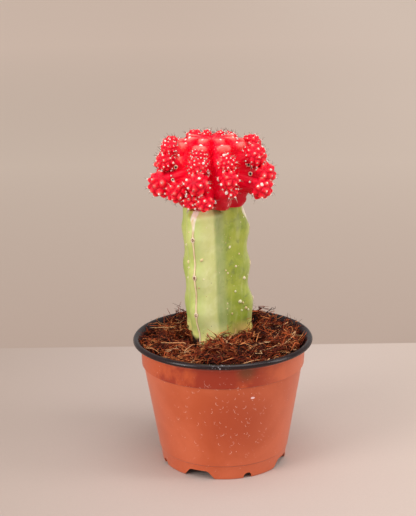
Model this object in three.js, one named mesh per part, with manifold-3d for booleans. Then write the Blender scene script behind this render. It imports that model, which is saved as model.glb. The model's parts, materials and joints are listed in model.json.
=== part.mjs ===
// Potted moon cactus: a ribbed red scion with its offsets, grafted on a three-winged green rootstock that
// stands in coir inside a thin-walled nursery pot.
// Millimetres, +Z up. The origin is the centre of the pot's foot, on the surface that it stands on, and -Y is
// the front.
import * as THREE from "three";
import { mergeVertices } from "three/addons/utils/BufferGeometryUtils.js";
import Module from "manifold-3d";

const wasm = await Module();
wasm.setup();

// ---- driving dimensions ----
const pot = {
  height: 74.6,
  wall: 1.2,
  footRadius: 36.3,
  footLine: 8.7, // height of the small step above the foot
  footLineRadius: 37.8,
  collarHeight: 58.9, // underside of the collar below the rim
  collarRadius: 47.1,
  collarStep: 1, // how far the collar stands out from the body
  beadStep: 1.1, // how far the bead under the rim stands out from the collar
  rimRadius: 52,
  rimDepth: 3,
  floorHeight: 3.4, // underside of the raised floor
  floorThickness: 1.1,
  sides: 40,
};
const drain = {
  wideBottom: 20.5,
  wideTop: 11,
  wideHeight: 4.9,
  smallWidth: 5,
  smallHeight: 3.3,
  holeRadius: 3,
  holeCircle: 20,
  wideAt: -24, // degrees from the front, repeated every quarter turn
  smallAt: 21,
};
const fill = {
  gap: 0.35,
  middleLevel: 72,
  wallLevel: 70.2,
  frontRise: 2, // how much higher the fill lies at the front of the wall than at its sides
  lump: 1.3,
  hollow: { x: -21, y: -1, depth: 4.5, spread: 7 }, // a dip beside the stem, between two wings
  rings: 7,
  fibres: 34,
};
const stem = { bottom: 38, top: 150, areolePitch: 22, scallop: 1.8, blunt: 1.2, perWing: 10, rings: 26 };
// Each wing: degrees round from the front one, radius of its edge and of the valley after it, height of one of
// its areoles, and the slanting cut at its top.
const wings = [
  { turn: 0, radius: 24.1, valley: 14.6, areole: 89.5, cutHeight: 10, cutDepth: 4.6 },
  { turn: 120, radius: 24.4, valley: 14.6, areole: 92.3, cutHeight: 15, cutDepth: 5 },
  { turn: 248, radius: 18.8, valley: 11.6, areole: 91.2, cutHeight: 10, cutDepth: 2 },
];
const clearance = 0.35; // gap between the stem and what it stands in or carries
const mother = {
  centre: new THREE.Vector3(-5.2, 8, 170),
  radius: 23,
  above: 20.6, // height of the top over the centre
  below: 23.5, // depth of the whole globe under the centre, most of which the graft cuts off
  ribs: 8,
  perRib: 4,
  rows: 11,
  groove: 0.27, // depth of the grooves as a share of the radius
  fullness: 0.62, // 1 is a plain globe, less is squarer at the shoulder
  crownDepth: 3,
};
const offsetForm = {
  large: { around: 14, rows: 7 },
  small: { around: 12, rows: 6 },
  largeFrom: 6.2, // radius from which an offset has the large form
  knob: 0.09, // height of the tubercles as a share of the radius
};
const spine = {
  length: 3,
  radius: 0.32,
  sunk: 0.9, // how deep the root sits in the flesh
  rows: [2, 3], // rows of an offset's form that carry spines
  every: 4, // how many steps round the row apart they stand
};

const degrees = Math.PI / 180;
const lerp = THREE.MathUtils.lerp;
const smooth = THREE.MathUtils.smoothstep;

// Level direction at an azimuth measured from the front (-Y) towards +X.
const heading = (azimuth) => new THREE.Vector3(Math.sin(azimuth * degrees), -Math.cos(azimuth * degrees), 0);

// Seeded random numbers from 0 to 1.
function randomFrom(seed) {
  let state = seed;
  return () => {
    state = (state + 0x6d2b79f5) | 0;
    let t = Math.imul(state ^ (state >>> 15), 1 | state);
    t = (t + Math.imul(t ^ (t >>> 7), 61 | t)) ^ t;
    return ((t ^ (t >>> 14)) >>> 0) / 4294967296;
  };
}

// ---- solids ----
function solidOf(geometry) {
  const bare = geometry.clone();
  for (const name of Object.keys(bare.attributes)) {
    if (name !== "position") bare.deleteAttribute(name);
  }
  const merged = mergeVertices(bare, 1e-4);
  const mesh = new wasm.Mesh({
    numProp: 3,
    vertProperties: merged.attributes.position.array,
    triVerts: new Uint32Array(merged.index.array),
  });
  return new wasm.Manifold(mesh);
}

function geometryOf(solid) {
  const { numProp, vertProperties, triVerts, numVert } = solid.getMesh();
  const position = new Float32Array(numVert * 3);
  for (let i = 0; i < numVert; i++) {
    position.set(vertProperties.subarray(i * numProp, i * numProp + 3), i * 3);
  }
  const geometry = new THREE.BufferGeometry();
  geometry.setAttribute("position", new THREE.BufferAttribute(position, 3));
  geometry.setIndex(new THREE.BufferAttribute(new Uint32Array(triVerts), 1));
  geometry.computeVertexNormals();
  return geometry;
}

const unite = (solids) => wasm.Manifold.union(solids);

// The largest connected body of a solid: a cut can leave loose scraps.
const mainBody = (solid) => solid.decompose().reduce((a, b) => (a.volume() > b.volume() ? a : b));

// Closed geometry through rings of points, anticlockwise as seen from the last ring's side, with a fan at both
// ends. Each four-sided cell is split along its shorter diagonal.
function skin(rings, firstTip, lastTip) {
  const count = rings[0].length;
  const points = [firstTip, ...rings.flat(), lastTip];
  const faces = [];
  const at = (ring, i) => 1 + ring * count + (i % count);
  for (let i = 0; i < count; i++) {
    faces.push(0, at(0, i + 1), at(0, i));
    faces.push(points.length - 1, at(rings.length - 1, i), at(rings.length - 1, i + 1));
  }
  for (let ring = 0; ring + 1 < rings.length; ring++)
    for (let i = 0; i < count; i++) {
      const [a, b, c, d] = [at(ring, i), at(ring, i + 1), at(ring + 1, i + 1), at(ring + 1, i)];
      const [across, back] = [points[a].distanceTo(points[c]), points[b].distanceTo(points[d])];
      faces.push(...(across < back + 1e-6 ? [a, b, c, a, c, d] : [a, b, d, b, c, d]));
    }
  const geometry = new THREE.BufferGeometry().setFromPoints(points);
  geometry.setIndex(faces);
  return geometry;
}

// A thin three-sided strand along a curve, from one radius to another.
function strand(curve, steps, radius, tipRadius) {
  const frames = curve.computeFrenetFrames(steps, false);
  const rings = [];
  for (let i = 0; i <= steps; i++) {
    const centre = curve.getPointAt(i / steps);
    const r = lerp(radius, tipRadius, i / steps);
    const corner = (turn) =>
      centre
        .clone()
        .addScaledVector(frames.normals[i], r * Math.cos(turn * degrees))
        .addScaledVector(frames.binormals[i], r * Math.sin(turn * degrees));
    rings.push([corner(0), corner(120), corner(240)]);
  }
  return skin(rings, curve.getPointAt(0), curve.getPointAt(1));
}

// A closed cylinder or cone with one end at a point and its axis along a direction.
function peg(start, direction, startRadius, endRadius, length, sides) {
  const geometry = new THREE.CylinderGeometry(endRadius, startRadius, length, sides);
  geometry.translate(0, length / 2, 0);
  geometry.applyQuaternion(new THREE.Quaternion().setFromUnitVectors(new THREE.Vector3(0, 1, 0), direction));
  geometry.translate(start.x, start.y, start.z);
  return solidOf(geometry);
}

// ---- pot: one moulding, with its rolled rim, collar, foot, drain notches and floor holes ----
// Radius and height of the inner wall's corners, from the rim down to the floor.
const innerWall = [
  [pot.collarRadius + pot.beadStep - pot.wall, pot.height - pot.rimDepth],
  [pot.collarRadius - pot.wall - 0.2, pot.collarHeight - 0.2],
  [pot.collarRadius - pot.collarStep - pot.wall, pot.collarHeight - 1.4],
  [pot.footLineRadius - pot.wall - 0.2, pot.footLine],
  [pot.footRadius - pot.wall - 0.1, pot.floorHeight + pot.floorThickness],
];

function potProfile() {
  const { height, wall, footRadius, footLine, footLineRadius, collarHeight, collarRadius, rimRadius } = pot;
  const rimBottom = height - pot.rimDepth;
  const beadRadius = collarRadius + pot.beadStep;
  const profile = [
    [0, pot.floorHeight],
    [footRadius - wall - 0.7, pot.floorHeight],
    [footRadius - wall - 0.4, 0],
    [footRadius - 0.4, 0],
    [footRadius, 0.8],
    [footLineRadius - 0.5, footLine - 0.3],
    [footLineRadius, footLine],
    [collarRadius - pot.collarStep, collarHeight - 0.2],
    [collarRadius, collarHeight],
    [collarRadius + 0.5, rimBottom - 1.9],
    [beadRadius, rimBottom - 1.6],
    [beadRadius, rimBottom + 0.3],
    [rimRadius - 0.7, rimBottom],
    [rimRadius, rimBottom + 0.7],
    [rimRadius, height - 1.1],
    [rimRadius - 1.1, height],
    [rimRadius - 2.8, height - 0.3],
    ...innerWall,
    [0, pot.floorHeight + pot.floorThickness],
  ];
  return profile.map(([r, z]) => new THREE.Vector2(r, z));
}

// Cuts a shape through the skirt below the floor, at an azimuth from the front.
function notchCutter(shape, azimuth) {
  const reach = 8; // from inside the skirt to outside it
  const cutter = new THREE.ExtrudeGeometry(shape, { depth: reach, bevelEnabled: false, curveSegments: 4 });
  cutter.rotateX(Math.PI / 2); // the shape stands up and the cutter runs towards -Y
  cutter.translate(0, reach / 2 - pot.footRadius, 0);
  cutter.rotateZ(azimuth * degrees);
  return solidOf(cutter);
}

function wideNotch() {
  const shape = new THREE.Shape();
  shape.moveTo(-drain.wideBottom / 2, -1);
  shape.lineTo(drain.wideBottom / 2, -1);
  shape.lineTo(drain.wideTop / 2, drain.wideHeight);
  shape.lineTo(-drain.wideTop / 2, drain.wideHeight);
  return shape;
}

function smallNotch() {
  const half = drain.smallWidth / 2;
  const shape = new THREE.Shape();
  shape.moveTo(-half, -1);
  shape.lineTo(half, -1);
  shape.lineTo(half, drain.smallHeight - half);
  shape.absarc(0, drain.smallHeight - half, half, 0, Math.PI, false);
  return shape;
}

function buildPot() {
  const shell = new THREE.LatheGeometry(potProfile(), pot.sides);
  shell.rotateX(Math.PI / 2);
  const up = new THREE.Vector3(0, 0, 1);
  const hole = (azimuth) => {
    const place = heading(azimuth).multiplyScalar(drain.holeCircle);
    return peg(place, up, drain.holeRadius, drain.holeRadius, 2 * pot.floorHeight, 12);
  };
  const cutters = [0, 90, 180, 270].flatMap((quarter) => [
    notchCutter(wideNotch(), drain.wideAt + quarter),
    notchCutter(smallNotch(), drain.smallAt + quarter),
    hole(45 + quarter),
  ]);
  return geometryOf(solidOf(shell).subtract(unite(cutters)));
}

// ---- rootstock: three blunt wings, scalloped between their areoles, with slanting cuts round the graft ----
const stemTurn = (z) => lerp(-15, -19.7, smooth(z, 64, 94)); // azimuth of the front wing
const stemCentre = (z) => new THREE.Vector3(lerp(-6.5, -8.5, (z - 70) / 80), lerp(9.1, 7.9, (z - 70) / 80), z);

// How far a wing's edge falls back at a height: nothing at an areole, most halfway down to the next.
function scallopAt(wing, z) {
  const up = (z - wing.areole) / stem.areolePitch;
  const below = 1 - (up - Math.floor(up)); // 0 just below an areole, 1 at the next one down
  return stem.scallop * smooth(below, 0, 0.55) * (1 - smooth(below, 0.6, 1));
}

// Radius of the stem in the direction that is a share (0 to 1) of the way from one wing to the next.
function stemRadius(from, to, share, z) {
  const wing = share < 0.5 ? from : to;
  const off = Math.min(share, 1 - share) * 2 * Math.PI; // 0 on the wing's edge, pi in the valley
  const swing = (wing.radius - from.valley) / 2;
  const middle = (wing.radius + from.valley) / 2 - stem.blunt;
  const edge = 0.5 + 0.5 * Math.cos(off);
  const wave = swing * Math.cos(off) + stem.blunt * Math.cos(2 * off);
  const whole = middle + wave - scallopAt(wing, z) * edge;
  const intoCut = (z - stem.top + wing.cutHeight) / wing.cutHeight;
  const cut = intoCut > 0 ? (wing.radius + 0.4 - wing.cutDepth * intoCut) / Math.cos(off / 3) : whole;
  const buriedEnd = lerp(0.72, 1, smooth(z, stem.bottom, stem.bottom + 16)); // it draws in
  return Math.min(whole, cut) * buriedEnd;
}

// One ring of the stem's outline at a height, grown outwards by a margin.
function stemRing(z, margin) {
  return wings.flatMap((from, index) => {
    const to = wings[(index + 1) % wings.length];
    const span = (to.turn - from.turn + 360) % 360;
    return Array.from({ length: stem.perWing }, (_, i) => {
      const azimuth = stemTurn(z) + from.turn + (span * i) / stem.perWing;
      const out = stemRadius(from, to, i / stem.perWing, z) + margin;
      return stemCentre(z).addScaledVector(heading(azimuth), out);
    });
  });
}

const stemHeights = Array.from({ length: stem.rings + 1 }, (_, i) =>
  lerp(stem.bottom, stem.top, i / stem.rings),
);

function stemBody(heights, margin = 0) {
  const rings = heights.map((z) => stemRing(z, margin));
  return solidOf(skin(rings, stemCentre(heights[0]), stemCentre(heights.at(-1))));
}

// Areoles: small buttons on the wings' edges.
function stemAreole(wing, z) {
  const azimuth = stemTurn(z) + wing.turn;
  const button = new THREE.OctahedronGeometry(1.1, 0);
  button.scale(0.9, 0.9, 1.3);
  button.rotateZ(azimuth * degrees + 0.4);
  const place = stemCentre(z).addScaledVector(heading(azimuth), stemRadius(wing, wing, 0, z) - 0.15);
  button.translate(place.x, place.y, place.z);
  return solidOf(button);
}

function buildStem() {
  const areolesOf = (wing) => [0, 1, 2].map((step) => stemAreole(wing, wing.areole + step * stem.areolePitch));
  const areoles = wings.flatMap(areolesOf);
  return geometryOf(unite([stemBody(stemHeights), ...areoles]));
}

// ---- coir: lumpy fill with a plain hole for the stem, and coarse fibres lying over it ----
function fillLevel(x, y) {
  const brim = pot.collarRadius - pot.wall;
  const atWall = fill.wallLevel - (fill.frontRise * y) / brim;
  const slope = lerp(fill.middleLevel, atWall, smooth(Math.hypot(x, y), brim / 3, brim));
  const coarse = Math.sin(x * 0.31 + 1.3) * Math.cos(y * 0.27 - 0.6);
  const fine = Math.sin(x * 0.57 - y * 0.46 + 2.1) * Math.cos(y * 0.63 + x * 0.2);
  const { hollow } = fill;
  const dip = hollow.depth * Math.exp(-((x - hollow.x) ** 2 + (y - hollow.y) ** 2) / hollow.spread ** 2);
  return slope + fill.lump * (coarse + 0.7 * fine) - dip;
}

function fillBody() {
  const ringAt = (radius, level) =>
    Array.from({ length: pot.sides }, (_, i) => {
      const point = heading((i * 360) / pot.sides).multiplyScalar(radius);
      return point.setZ(level ?? fillLevel(point.x, point.y));
    });
  const underCollar = innerWall.slice(2).reverse();
  const bottom = pot.floorHeight + pot.floorThickness + fill.gap;
  const rings = underCollar.map(([radius, z]) => ringAt(radius - fill.gap, Math.max(z, bottom)));
  const brim = innerWall[1][0] - fill.gap; // its radius inside the collar
  for (let i = 0; i < fill.rings; i++) rings.push(ringAt(brim * (1 - i / fill.rings)));
  return solidOf(skin(rings, new THREE.Vector3(0, 0, bottom), new THREE.Vector3(0, 0, fillLevel(0, 0))));
}

// Strands that arch over the fill with both ends buried. Every fifth one rises from it near the wall.
function coirFibres(seed) {
  const random = randomFrom(seed);
  const buried = 1.4;
  const made = [];
  while (made.length < fill.fibres) {
    const rising = made.length % 5 === 0;
    const out = rising ? lerp(34, 41, random()) : lerp(14, 40, random() ** 0.5);
    const length = rising ? lerp(5, 9, random()) : lerp(10, 21, random());
    const start = heading(random() * 360).multiplyScalar(out);
    const run = heading(random() * 360).multiplyScalar(length);
    const end = start.clone().add(run);
    if (end.length() > 42) continue;
    const bow = new THREE.Vector3(-run.y, run.x, 0).multiplyScalar(0.35 * (random() - 0.5));
    const middle = start.clone().lerp(end, 0.5).add(bow);
    const rise = lerp(2, 4.4, random());
    start.z = fillLevel(start.x, start.y) - buried;
    middle.z = fillLevel(middle.x, middle.y) + rise;
    end.z = fillLevel(end.x, end.y) + (rising ? rise + 3 : -buried);
    const radius = lerp(0.45, 0.75, random());
    const curve = new THREE.QuadraticBezierCurve3(start, middle, end);
    made.push(solidOf(strand(curve, 3, radius, rising ? 0.15 : radius)));
  }
  return made;
}

function buildFill() {
  const filled = unite([fillBody(), ...coirFibres(7)]);
  const buried = stemHeights.filter((z) => z < pot.height + 10);
  const hole = stemBody([stem.bottom - clearance, ...buried], clearance);
  return geometryOf(mainBody(filled.subtract(hole)));
}

// ---- scion: a ribbed mother globe with offsets on its ribs, its underside flat over the graft ----
// A globe round +Z. The profile gives the radius and height for an angle from the top, a step round and a row.
function globe(around, rows, profile, topHeight, bottomHeight) {
  const rings = [];
  for (let row = rows - 1; row > 0; row--) {
    const ring = [];
    for (let i = 0; i < around; i++) {
      const [radius, height] = profile((Math.PI * row) / rows, i, row);
      ring.push(heading((i * 360) / around).multiplyScalar(radius).setZ(height));
    }
    rings.push(ring);
  }
  return skin(rings, new THREE.Vector3(0, 0, bottomHeight), new THREE.Vector3(0, 0, topHeight));
}

// The mother: broad lobes with narrow grooves between them, full at the shoulder, with a sunken crown.
function motherBody() {
  const { centre, radius, above, below, ribs, perRib, rows, groove, fullness, crownDepth } = mother;
  const crown = (out) => crownDepth * Math.exp(-((out / (0.35 * radius)) ** 2));
  const profile = (polar, i) => {
    const crest = Math.abs(Math.cos((Math.PI * i) / perRib));
    const out = radius * Math.sin(polar) ** fullness * (1 - groove * (1 - crest));
    const up = Math.abs(Math.cos(polar)) ** fullness;
    return [out, polar < Math.PI / 2 ? above * up - crown(out) : -below * up];
  };
  const body = globe(ribs * perRib, rows, profile, above - crownDepth, -below);
  body.rotateZ(Math.PI / ribs);
  body.translate(centre.x, centre.y, centre.z);
  return solidOf(body);
}

// Offsets in front and on the crown: azimuth from the front, distance from the mother's axis, height over its
// centre, and radius.
const seenOffsets = [
  [-22, 18.2, 13.6, 5.0],
  [-21, 21.8, 7.0, 5.6],
  [-19, 25.2, -2.5, 7.2],
  [-10, 22.8, -12.0, 5.3],
  [-30, 22.4, -11.4, 5.0],
  [24, 21.2, 9.6, 5.4],
  [23, 23.6, -0.6, 5.7],
  [29, 22.2, -8.2, 3.8],
  [-68, 25.6, 16.0, 4.9],
  [-68, 27.4, 9.0, 5.8],
  [-67, 31.6, -5.0, 8.2],
  [-49, 26.0, -8.6, 6.3],
  [66, 26.2, 13.0, 6.9],
  [70, 31.6, 0.6, 6.9],
  [64, 30.6, -7.4, 7.0],
  [195, 9.5, 18.6, 3.2],
  [150, 10.5, 18.2, 3.1],
  [122, 13.5, 16.8, 3.6],
];

// The four ribs behind carry three offsets each, about as large as those in front.
function backOffsets(seed) {
  const random = randomFrom(seed);
  const vary = (middle, spread) => middle + spread * (random() - 0.5);
  const onOneRib = [
    [24.5, 12.5, 6.0],
    [28.0, 1.5, 7.2],
    [26.5, -9.0, 6.6],
  ];
  return [112.5, 157.5, 202.5, 247.5].flatMap((azimuth) =>
    onOneRib.map(([distance, height, radius]) => [
      vary(azimuth, 12),
      vary(distance, 3),
      vary(height, 3),
      vary(radius, 1.4),
    ]),
  );
}

// An offset with its place and the lean of its own axis, which points outwards and up.
function offsetFrom([azimuth, distance, height, radius], index) {
  const away = heading(azimuth).multiplyScalar(distance).setZ(height);
  const axis = heading(azimuth).multiplyScalar(distance).setZ(height * 0.9 + 9).normalize();
  const lean = new THREE.Quaternion().setFromUnitVectors(new THREE.Vector3(0, 0, 1), axis);
  const roll = new THREE.Quaternion().setFromAxisAngle(new THREE.Vector3(0, 0, 1), index * 0.7);
  const centre = mother.centre.clone().add(away);
  const matrix = new THREE.Matrix4().compose(centre, lean.multiply(roll), new THREE.Vector3(1, 1, 1));
  const form = radius > offsetForm.largeFrom ? offsetForm.large : offsetForm.small;
  return { centre, radius, matrix, form };
}

const offsets = [...seenOffsets, ...backOffsets(11)].map(offsetFrom);

// A knobbly globe: its tubercles alternate from row to row.
function offsetBody({ radius, matrix, form }) {
  const profile = (polar, i, row) => {
    const swell = radius * (1 + ((i + row) % 2 === 0 ? offsetForm.knob : -offsetForm.knob));
    return [swell * Math.sin(polar), swell * Math.cos(polar)];
  };
  return solidOf(globe(form.around, form.rows, profile, radius * 0.9, -radius).applyMatrix4(matrix));
}

// The stout arm of an offset that stands too far out to grow straight from the mother's flesh.
function offsetArm({ centre, radius }) {
  const inwards = mother.centre.clone().sub(centre);
  const length = inwards.length() - mother.radius * 0.6;
  return peg(centre, inwards.normalize(), radius * 0.75, radius * 0.85, length, 6);
}

// A slim three-sided cone with its root in the flesh.
function spineAt(surface, direction, length) {
  const root = surface.clone().addScaledVector(direction, -spine.sunk);
  return peg(root, direction, spine.radius, 0, length + spine.sunk, 3);
}

// True where a point is clear of the mother and of every offset but its own, and above the graft.
const inTheOpen = (point, own) =>
  point.z > stem.top + 1.5 &&
  point.distanceTo(mother.centre) > mother.radius * 0.9 &&
  offsets.every((other) => other === own || other.centre.distanceTo(point) > other.radius * 1.05);

// Spines stand on the offsets' tubercles and in a ring round the mother's crown.
function spines(seed) {
  const random = randomFrom(seed);
  const made = [];
  for (const offset of offsets)
    for (const row of spine.rows)
      for (let i = row % 2; i < offset.form.around; i += spine.every) {
        const polar = (Math.PI * row) / offset.form.rows;
        const onGlobe = heading((i * 360) / offset.form.around).multiplyScalar(Math.sin(polar));
        onGlobe.setZ(Math.cos(polar)).multiplyScalar(offset.radius);
        const surface = onGlobe.applyMatrix4(offset.matrix);
        const stray = new THREE.Vector3(random() - 0.5, random() - 0.5, random() - 0.5).multiplyScalar(0.6);
        const direction = surface.clone().sub(offset.centre).normalize().add(stray).normalize();
        const length = spine.length * lerp(0.8, 1.15, random());
        const tip = surface.clone().addScaledVector(direction, length);
        const open = inTheOpen(surface, offset) && inTheOpen(tip, offset);
        if (open) made.push(spineAt(surface, direction, length));
      }
  for (let rib = 0; rib < mother.ribs; rib++) {
    const outwards = heading(((rib + 0.5) * 360) / mother.ribs);
    const surface = mother.centre.clone().addScaledVector(outwards, mother.radius * 0.62);
    surface.z += mother.above * 0.88;
    made.push(spineAt(surface, outwards.setZ(1.1).normalize(), spine.length));
  }
  return made;
}

function buildScion() {
  const farOut = ({ centre, radius }) => centre.distanceTo(mother.centre) - radius > mother.radius * 0.9;
  const arms = offsets.filter(farOut).map(offsetArm);
  const grown = unite([motherBody(), ...offsets.map(offsetBody), ...arms, ...spines(5)]);
  const below = new THREE.BoxGeometry(200, 200, 40);
  below.translate(0, 0, stem.top + clearance - 20);
  return geometryOf(mainBody(grown.subtract(solidOf(below))));
}

// ---- scene graph ----
const finishes = {
  pot: new THREE.MeshStandardMaterial({ color: 0xc25a38, roughness: 0.5, metalness: 0 }),
  coir: new THREE.MeshStandardMaterial({ color: 0x5d3320, roughness: 0.95, metalness: 0 }),
  stem: new THREE.MeshStandardMaterial({ color: 0x9cab52, roughness: 0.5, metalness: 0 }),
  scion: new THREE.MeshStandardMaterial({ color: 0xd91226, roughness: 0.4, metalness: 0 }),
};

function named(name, geometry, material) {
  const mesh = new THREE.Mesh(geometry, material);
  mesh.name = name;
  return mesh;
}

const cactus = new THREE.Group();
cactus.add(
  named("pot", buildPot(), finishes.pot),
  named("coir_fill", buildFill(), finishes.coir),
  named("rootstock_stem", buildStem(), finishes.stem),
  named("moon_scion", buildScion(), finishes.scion),
);

export default cactus;
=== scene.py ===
# Looks for the potted moon cactus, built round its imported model.
# Blender works in metres, so settings in millimetres are multiplied by mm. +Z is up and -Y is the front.
import json
import math

import bmesh
import bpy
import numpy as np
from mathutils import Matrix, Vector, noise
from mathutils.bvhtree import BVHTree
from mathutils.kdtree import KDTree

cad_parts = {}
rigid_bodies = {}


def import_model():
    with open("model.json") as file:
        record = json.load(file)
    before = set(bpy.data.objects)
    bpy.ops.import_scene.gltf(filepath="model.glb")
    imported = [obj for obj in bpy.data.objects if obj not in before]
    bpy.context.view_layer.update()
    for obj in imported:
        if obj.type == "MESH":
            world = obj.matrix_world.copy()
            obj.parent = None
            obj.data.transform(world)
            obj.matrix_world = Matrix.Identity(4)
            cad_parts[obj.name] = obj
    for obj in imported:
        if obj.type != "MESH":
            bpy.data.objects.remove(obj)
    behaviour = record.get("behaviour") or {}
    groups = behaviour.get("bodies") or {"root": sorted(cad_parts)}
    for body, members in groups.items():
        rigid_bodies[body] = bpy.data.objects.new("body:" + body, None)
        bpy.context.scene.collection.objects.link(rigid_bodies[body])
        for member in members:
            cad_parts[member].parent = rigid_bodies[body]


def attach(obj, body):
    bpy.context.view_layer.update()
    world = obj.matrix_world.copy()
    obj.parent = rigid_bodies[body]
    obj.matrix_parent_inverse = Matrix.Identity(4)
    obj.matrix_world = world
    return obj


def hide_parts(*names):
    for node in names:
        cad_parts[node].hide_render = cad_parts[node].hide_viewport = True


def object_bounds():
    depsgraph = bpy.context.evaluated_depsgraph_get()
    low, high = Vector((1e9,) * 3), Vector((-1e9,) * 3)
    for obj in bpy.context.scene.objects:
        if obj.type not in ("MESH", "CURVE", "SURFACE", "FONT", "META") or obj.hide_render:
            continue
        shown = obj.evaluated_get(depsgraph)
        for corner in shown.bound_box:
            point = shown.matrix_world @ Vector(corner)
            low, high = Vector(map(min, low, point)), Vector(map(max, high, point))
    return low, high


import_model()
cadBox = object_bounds()
mm = 0.001
print("frame loaded, size", [round(side, 4) for side in cadBox[1] - cadBox[0]])


# Level direction at an azimuth in degrees, measured from the front (-Y) towards +X.
def heading(azimuth):
    turn = math.radians(azimuth)
    return Vector((math.sin(turn), -math.cos(turn), 0))


unitCircle = [heading(turn) for turn in range(0, 360, 15)]


def upBy(height):
    return Vector((0, 0, height))


def lerp(low, high, share):
    return low + (high - low) * share


def smooth(value, low=0.0, high=1.0):
    share = min(max((value - low) / (high - low), 0), 1)
    return share * share * (3 - 2 * share)


def curved(start, middle, end, t):
    return start * (1 - t) ** 2 + middle * 2 * t * (1 - t) + end * t * t


# Seeded numbers from 0 to 1, drawn in the way that the part draws them, so that both grow the same offsets.
def seededRandom(seed):
    state = seed

    def draw():
        nonlocal state
        state = (state + 0x6D2B79F5) & 0xFFFFFFFF
        t = ((state ^ (state >> 15)) * (1 | state)) & 0xFFFFFFFF
        t = ((t + (((t ^ (t >> 7)) * (61 | t)) & 0xFFFFFFFF)) & 0xFFFFFFFF) ^ t
        return (t ^ (t >> 14)) / 4294967296

    return draw


def strayVector(draw):
    return Vector((draw() - 0.5, draw() - 0.5, draw() - 0.5))


# ---- camera, light and stage ----
camera = {
    "place": (-7.95, -675.4, 304.5),  # mm
    "down": 15.22,  # degrees below level
    "roll": -0.75,  # degrees
    "lens": 85.6,  # mm
    "sensor": 36,  # mm, the long side
    "clip": (0.05, 40),  # metres
}
light = {
    "worldColour": (1.0, 0.965, 0.94),
    "worldStrength": 0.49,
    "keyStrength": 0.66,
    "keyFrom": (0.3, -0.5, 1.05),
    "keySpread": 45,  # degrees
    "softboxes": [  # place, width and height in metres, watts
        ((-0.75, -0.55, 0.42), (0.4, 0.8), 5.6),
        ((0.8, -0.2, 0.45), (0.25, 0.8), 2.8),
        ((0.05, -0.15, 0.95), (0.7, 0.5), 2.4),
    ],
}
stage = {
    "size": 14.0,  # metres
    "below": 0.00004,
    "tableEnd": 0.194,
    # The table is painted darker to the left and lighter to the right, and the part beyond it, which stands
    # for a wall, darker near the table and lighter to the right and far off: painted shade of the light
    # across them.
    "table": [(0.0, (177, 158, 146)), (0.55, (200, 182, 173)), (1.0, (211, 192, 180))],
    "beyondLeft": [(0.0, (177, 156, 143)), (0.3, (221, 201, 185)), (1.0, (243, 219, 202))],
    "beyondRight": (255, 234, 218),
    "fleck": (120, 100, 90),
}


def makeCamera():
    lens = bpy.data.cameras.new("camera")
    lens.sensor_width = camera["sensor"]
    lens.lens = camera["lens"]
    lens.clip_start, lens.clip_end = camera["clip"]
    holder = bpy.data.objects.new("camera", lens)
    bpy.context.scene.collection.objects.link(holder)
    down, roll = math.radians(camera["down"]), math.radians(camera["roll"])
    right, up = Vector((1, 0, 0)), Vector((0, math.sin(down), math.cos(down)))
    rolled = [right * math.cos(roll) + up * math.sin(roll), up * math.cos(roll) - right * math.sin(roll)]
    turn = Matrix([*rolled, right.cross(up)]).transposed()
    holder.matrix_world = Matrix.Translation(Vector(camera["place"]) * mm) @ turn.to_4x4()
    bpy.context.scene.camera = holder


def aimed(name, lamp, place, target):
    holder = bpy.data.objects.new(name, lamp)
    holder.visible_camera = False
    holder.location = place
    holder.rotation_euler = (Vector(target) - Vector(place)).to_track_quat("-Z", "Y").to_euler()
    bpy.context.scene.collection.objects.link(holder)


def makeLights():
    world = bpy.data.worlds.new("studio")
    bpy.context.scene.world = world
    world.use_nodes = True
    sky = world.node_tree.nodes["Background"]
    sky.inputs["Color"].default_value = (*light["worldColour"], 1)
    sky.inputs["Strength"].default_value = light["worldStrength"]
    key = bpy.data.lights.new("key", "SUN")
    key.energy = light["keyStrength"]
    key.angle = math.radians(light["keySpread"])
    aimed("key", key, light["keyFrom"], (0, 0, 0))
    for number, (place, (width, height), power) in enumerate(light["softboxes"]):
        box = bpy.data.lights.new(f"softbox{number}", "AREA")
        box.shape = "RECTANGLE"
        box.size, box.size_y, box.energy = width, height, power
        aimed(box.name, box, place, (0, 0, 0.1))


# ---- small tools for meshes ----
def linked(name, mesh):
    piece = bpy.data.objects.new(name, mesh)
    bpy.context.scene.collection.objects.link(piece)
    return piece


def meshPiece(name, verts, faces, edges=()):
    mesh = bpy.data.meshes.new(name)
    mesh.from_pydata([tuple(v) for v in verts], list(edges), faces)
    mesh.update()
    return linked(name, mesh)


# Closed surface through rings of points, anticlockwise seen from the last ring's side, with fans at the ends.
def ringSkin(rings, firstTip, lastTip):
    count = len(rings[0])
    verts = [firstTip, *(point for ring in rings for point in ring), lastTip]
    last = len(verts) - 1

    def at(ring, i):
        return 1 + ring * count + i % count

    faces = []
    for i in range(count):
        faces.append((0, at(0, i + 1), at(0, i)))
        faces.append((last, at(len(rings) - 1, i), at(len(rings) - 1, i + 1)))
    for ring in range(len(rings) - 1):
        for i in range(count):
            faces.append((at(ring, i), at(ring, i + 1), at(ring + 1, i + 1), at(ring + 1, i)))
    return verts, faces


# A closed shape between two outlines that have as many points.
def prism(first, second):
    count = len(first)
    sides = [(i, (i + 1) % count, count + (i + 1) % count, count + i) for i in range(count)]
    return [*first, *second], [tuple(reversed(range(count))), tuple(range(count, 2 * count)), *sides]


# Puts shapes, each with its points and faces, together into one.
def merged(shapes):
    verts, faces = [], []
    for points, sides, *_ in shapes:
        faces += [tuple(len(verts) + i for i in face) for face in sides]
        verts += points
    return verts, faces


# Outline with its corners rounded: each corner is x, y and how far from it the rounding starts.
def rounded(corners, steps=4, closed=False):
    points = []
    for i, (x, y, cut) in enumerate(corners):
        here = Vector((x, y))
        if not cut or not closed and i in (0, len(corners) - 1):
            points.append(here)
            continue
        before, after = Vector(corners[i - 1][:2]), Vector(corners[(i + 1) % len(corners)][:2])
        start = here + (before - here).normalized() * min(cut, (before - here).length / 2)
        end = here + (after - here).normalized() * min(cut, (after - here).length / 2)
        points += [curved(start, here, end, part / steps) for part in range(steps + 1)]
    return points


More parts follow.
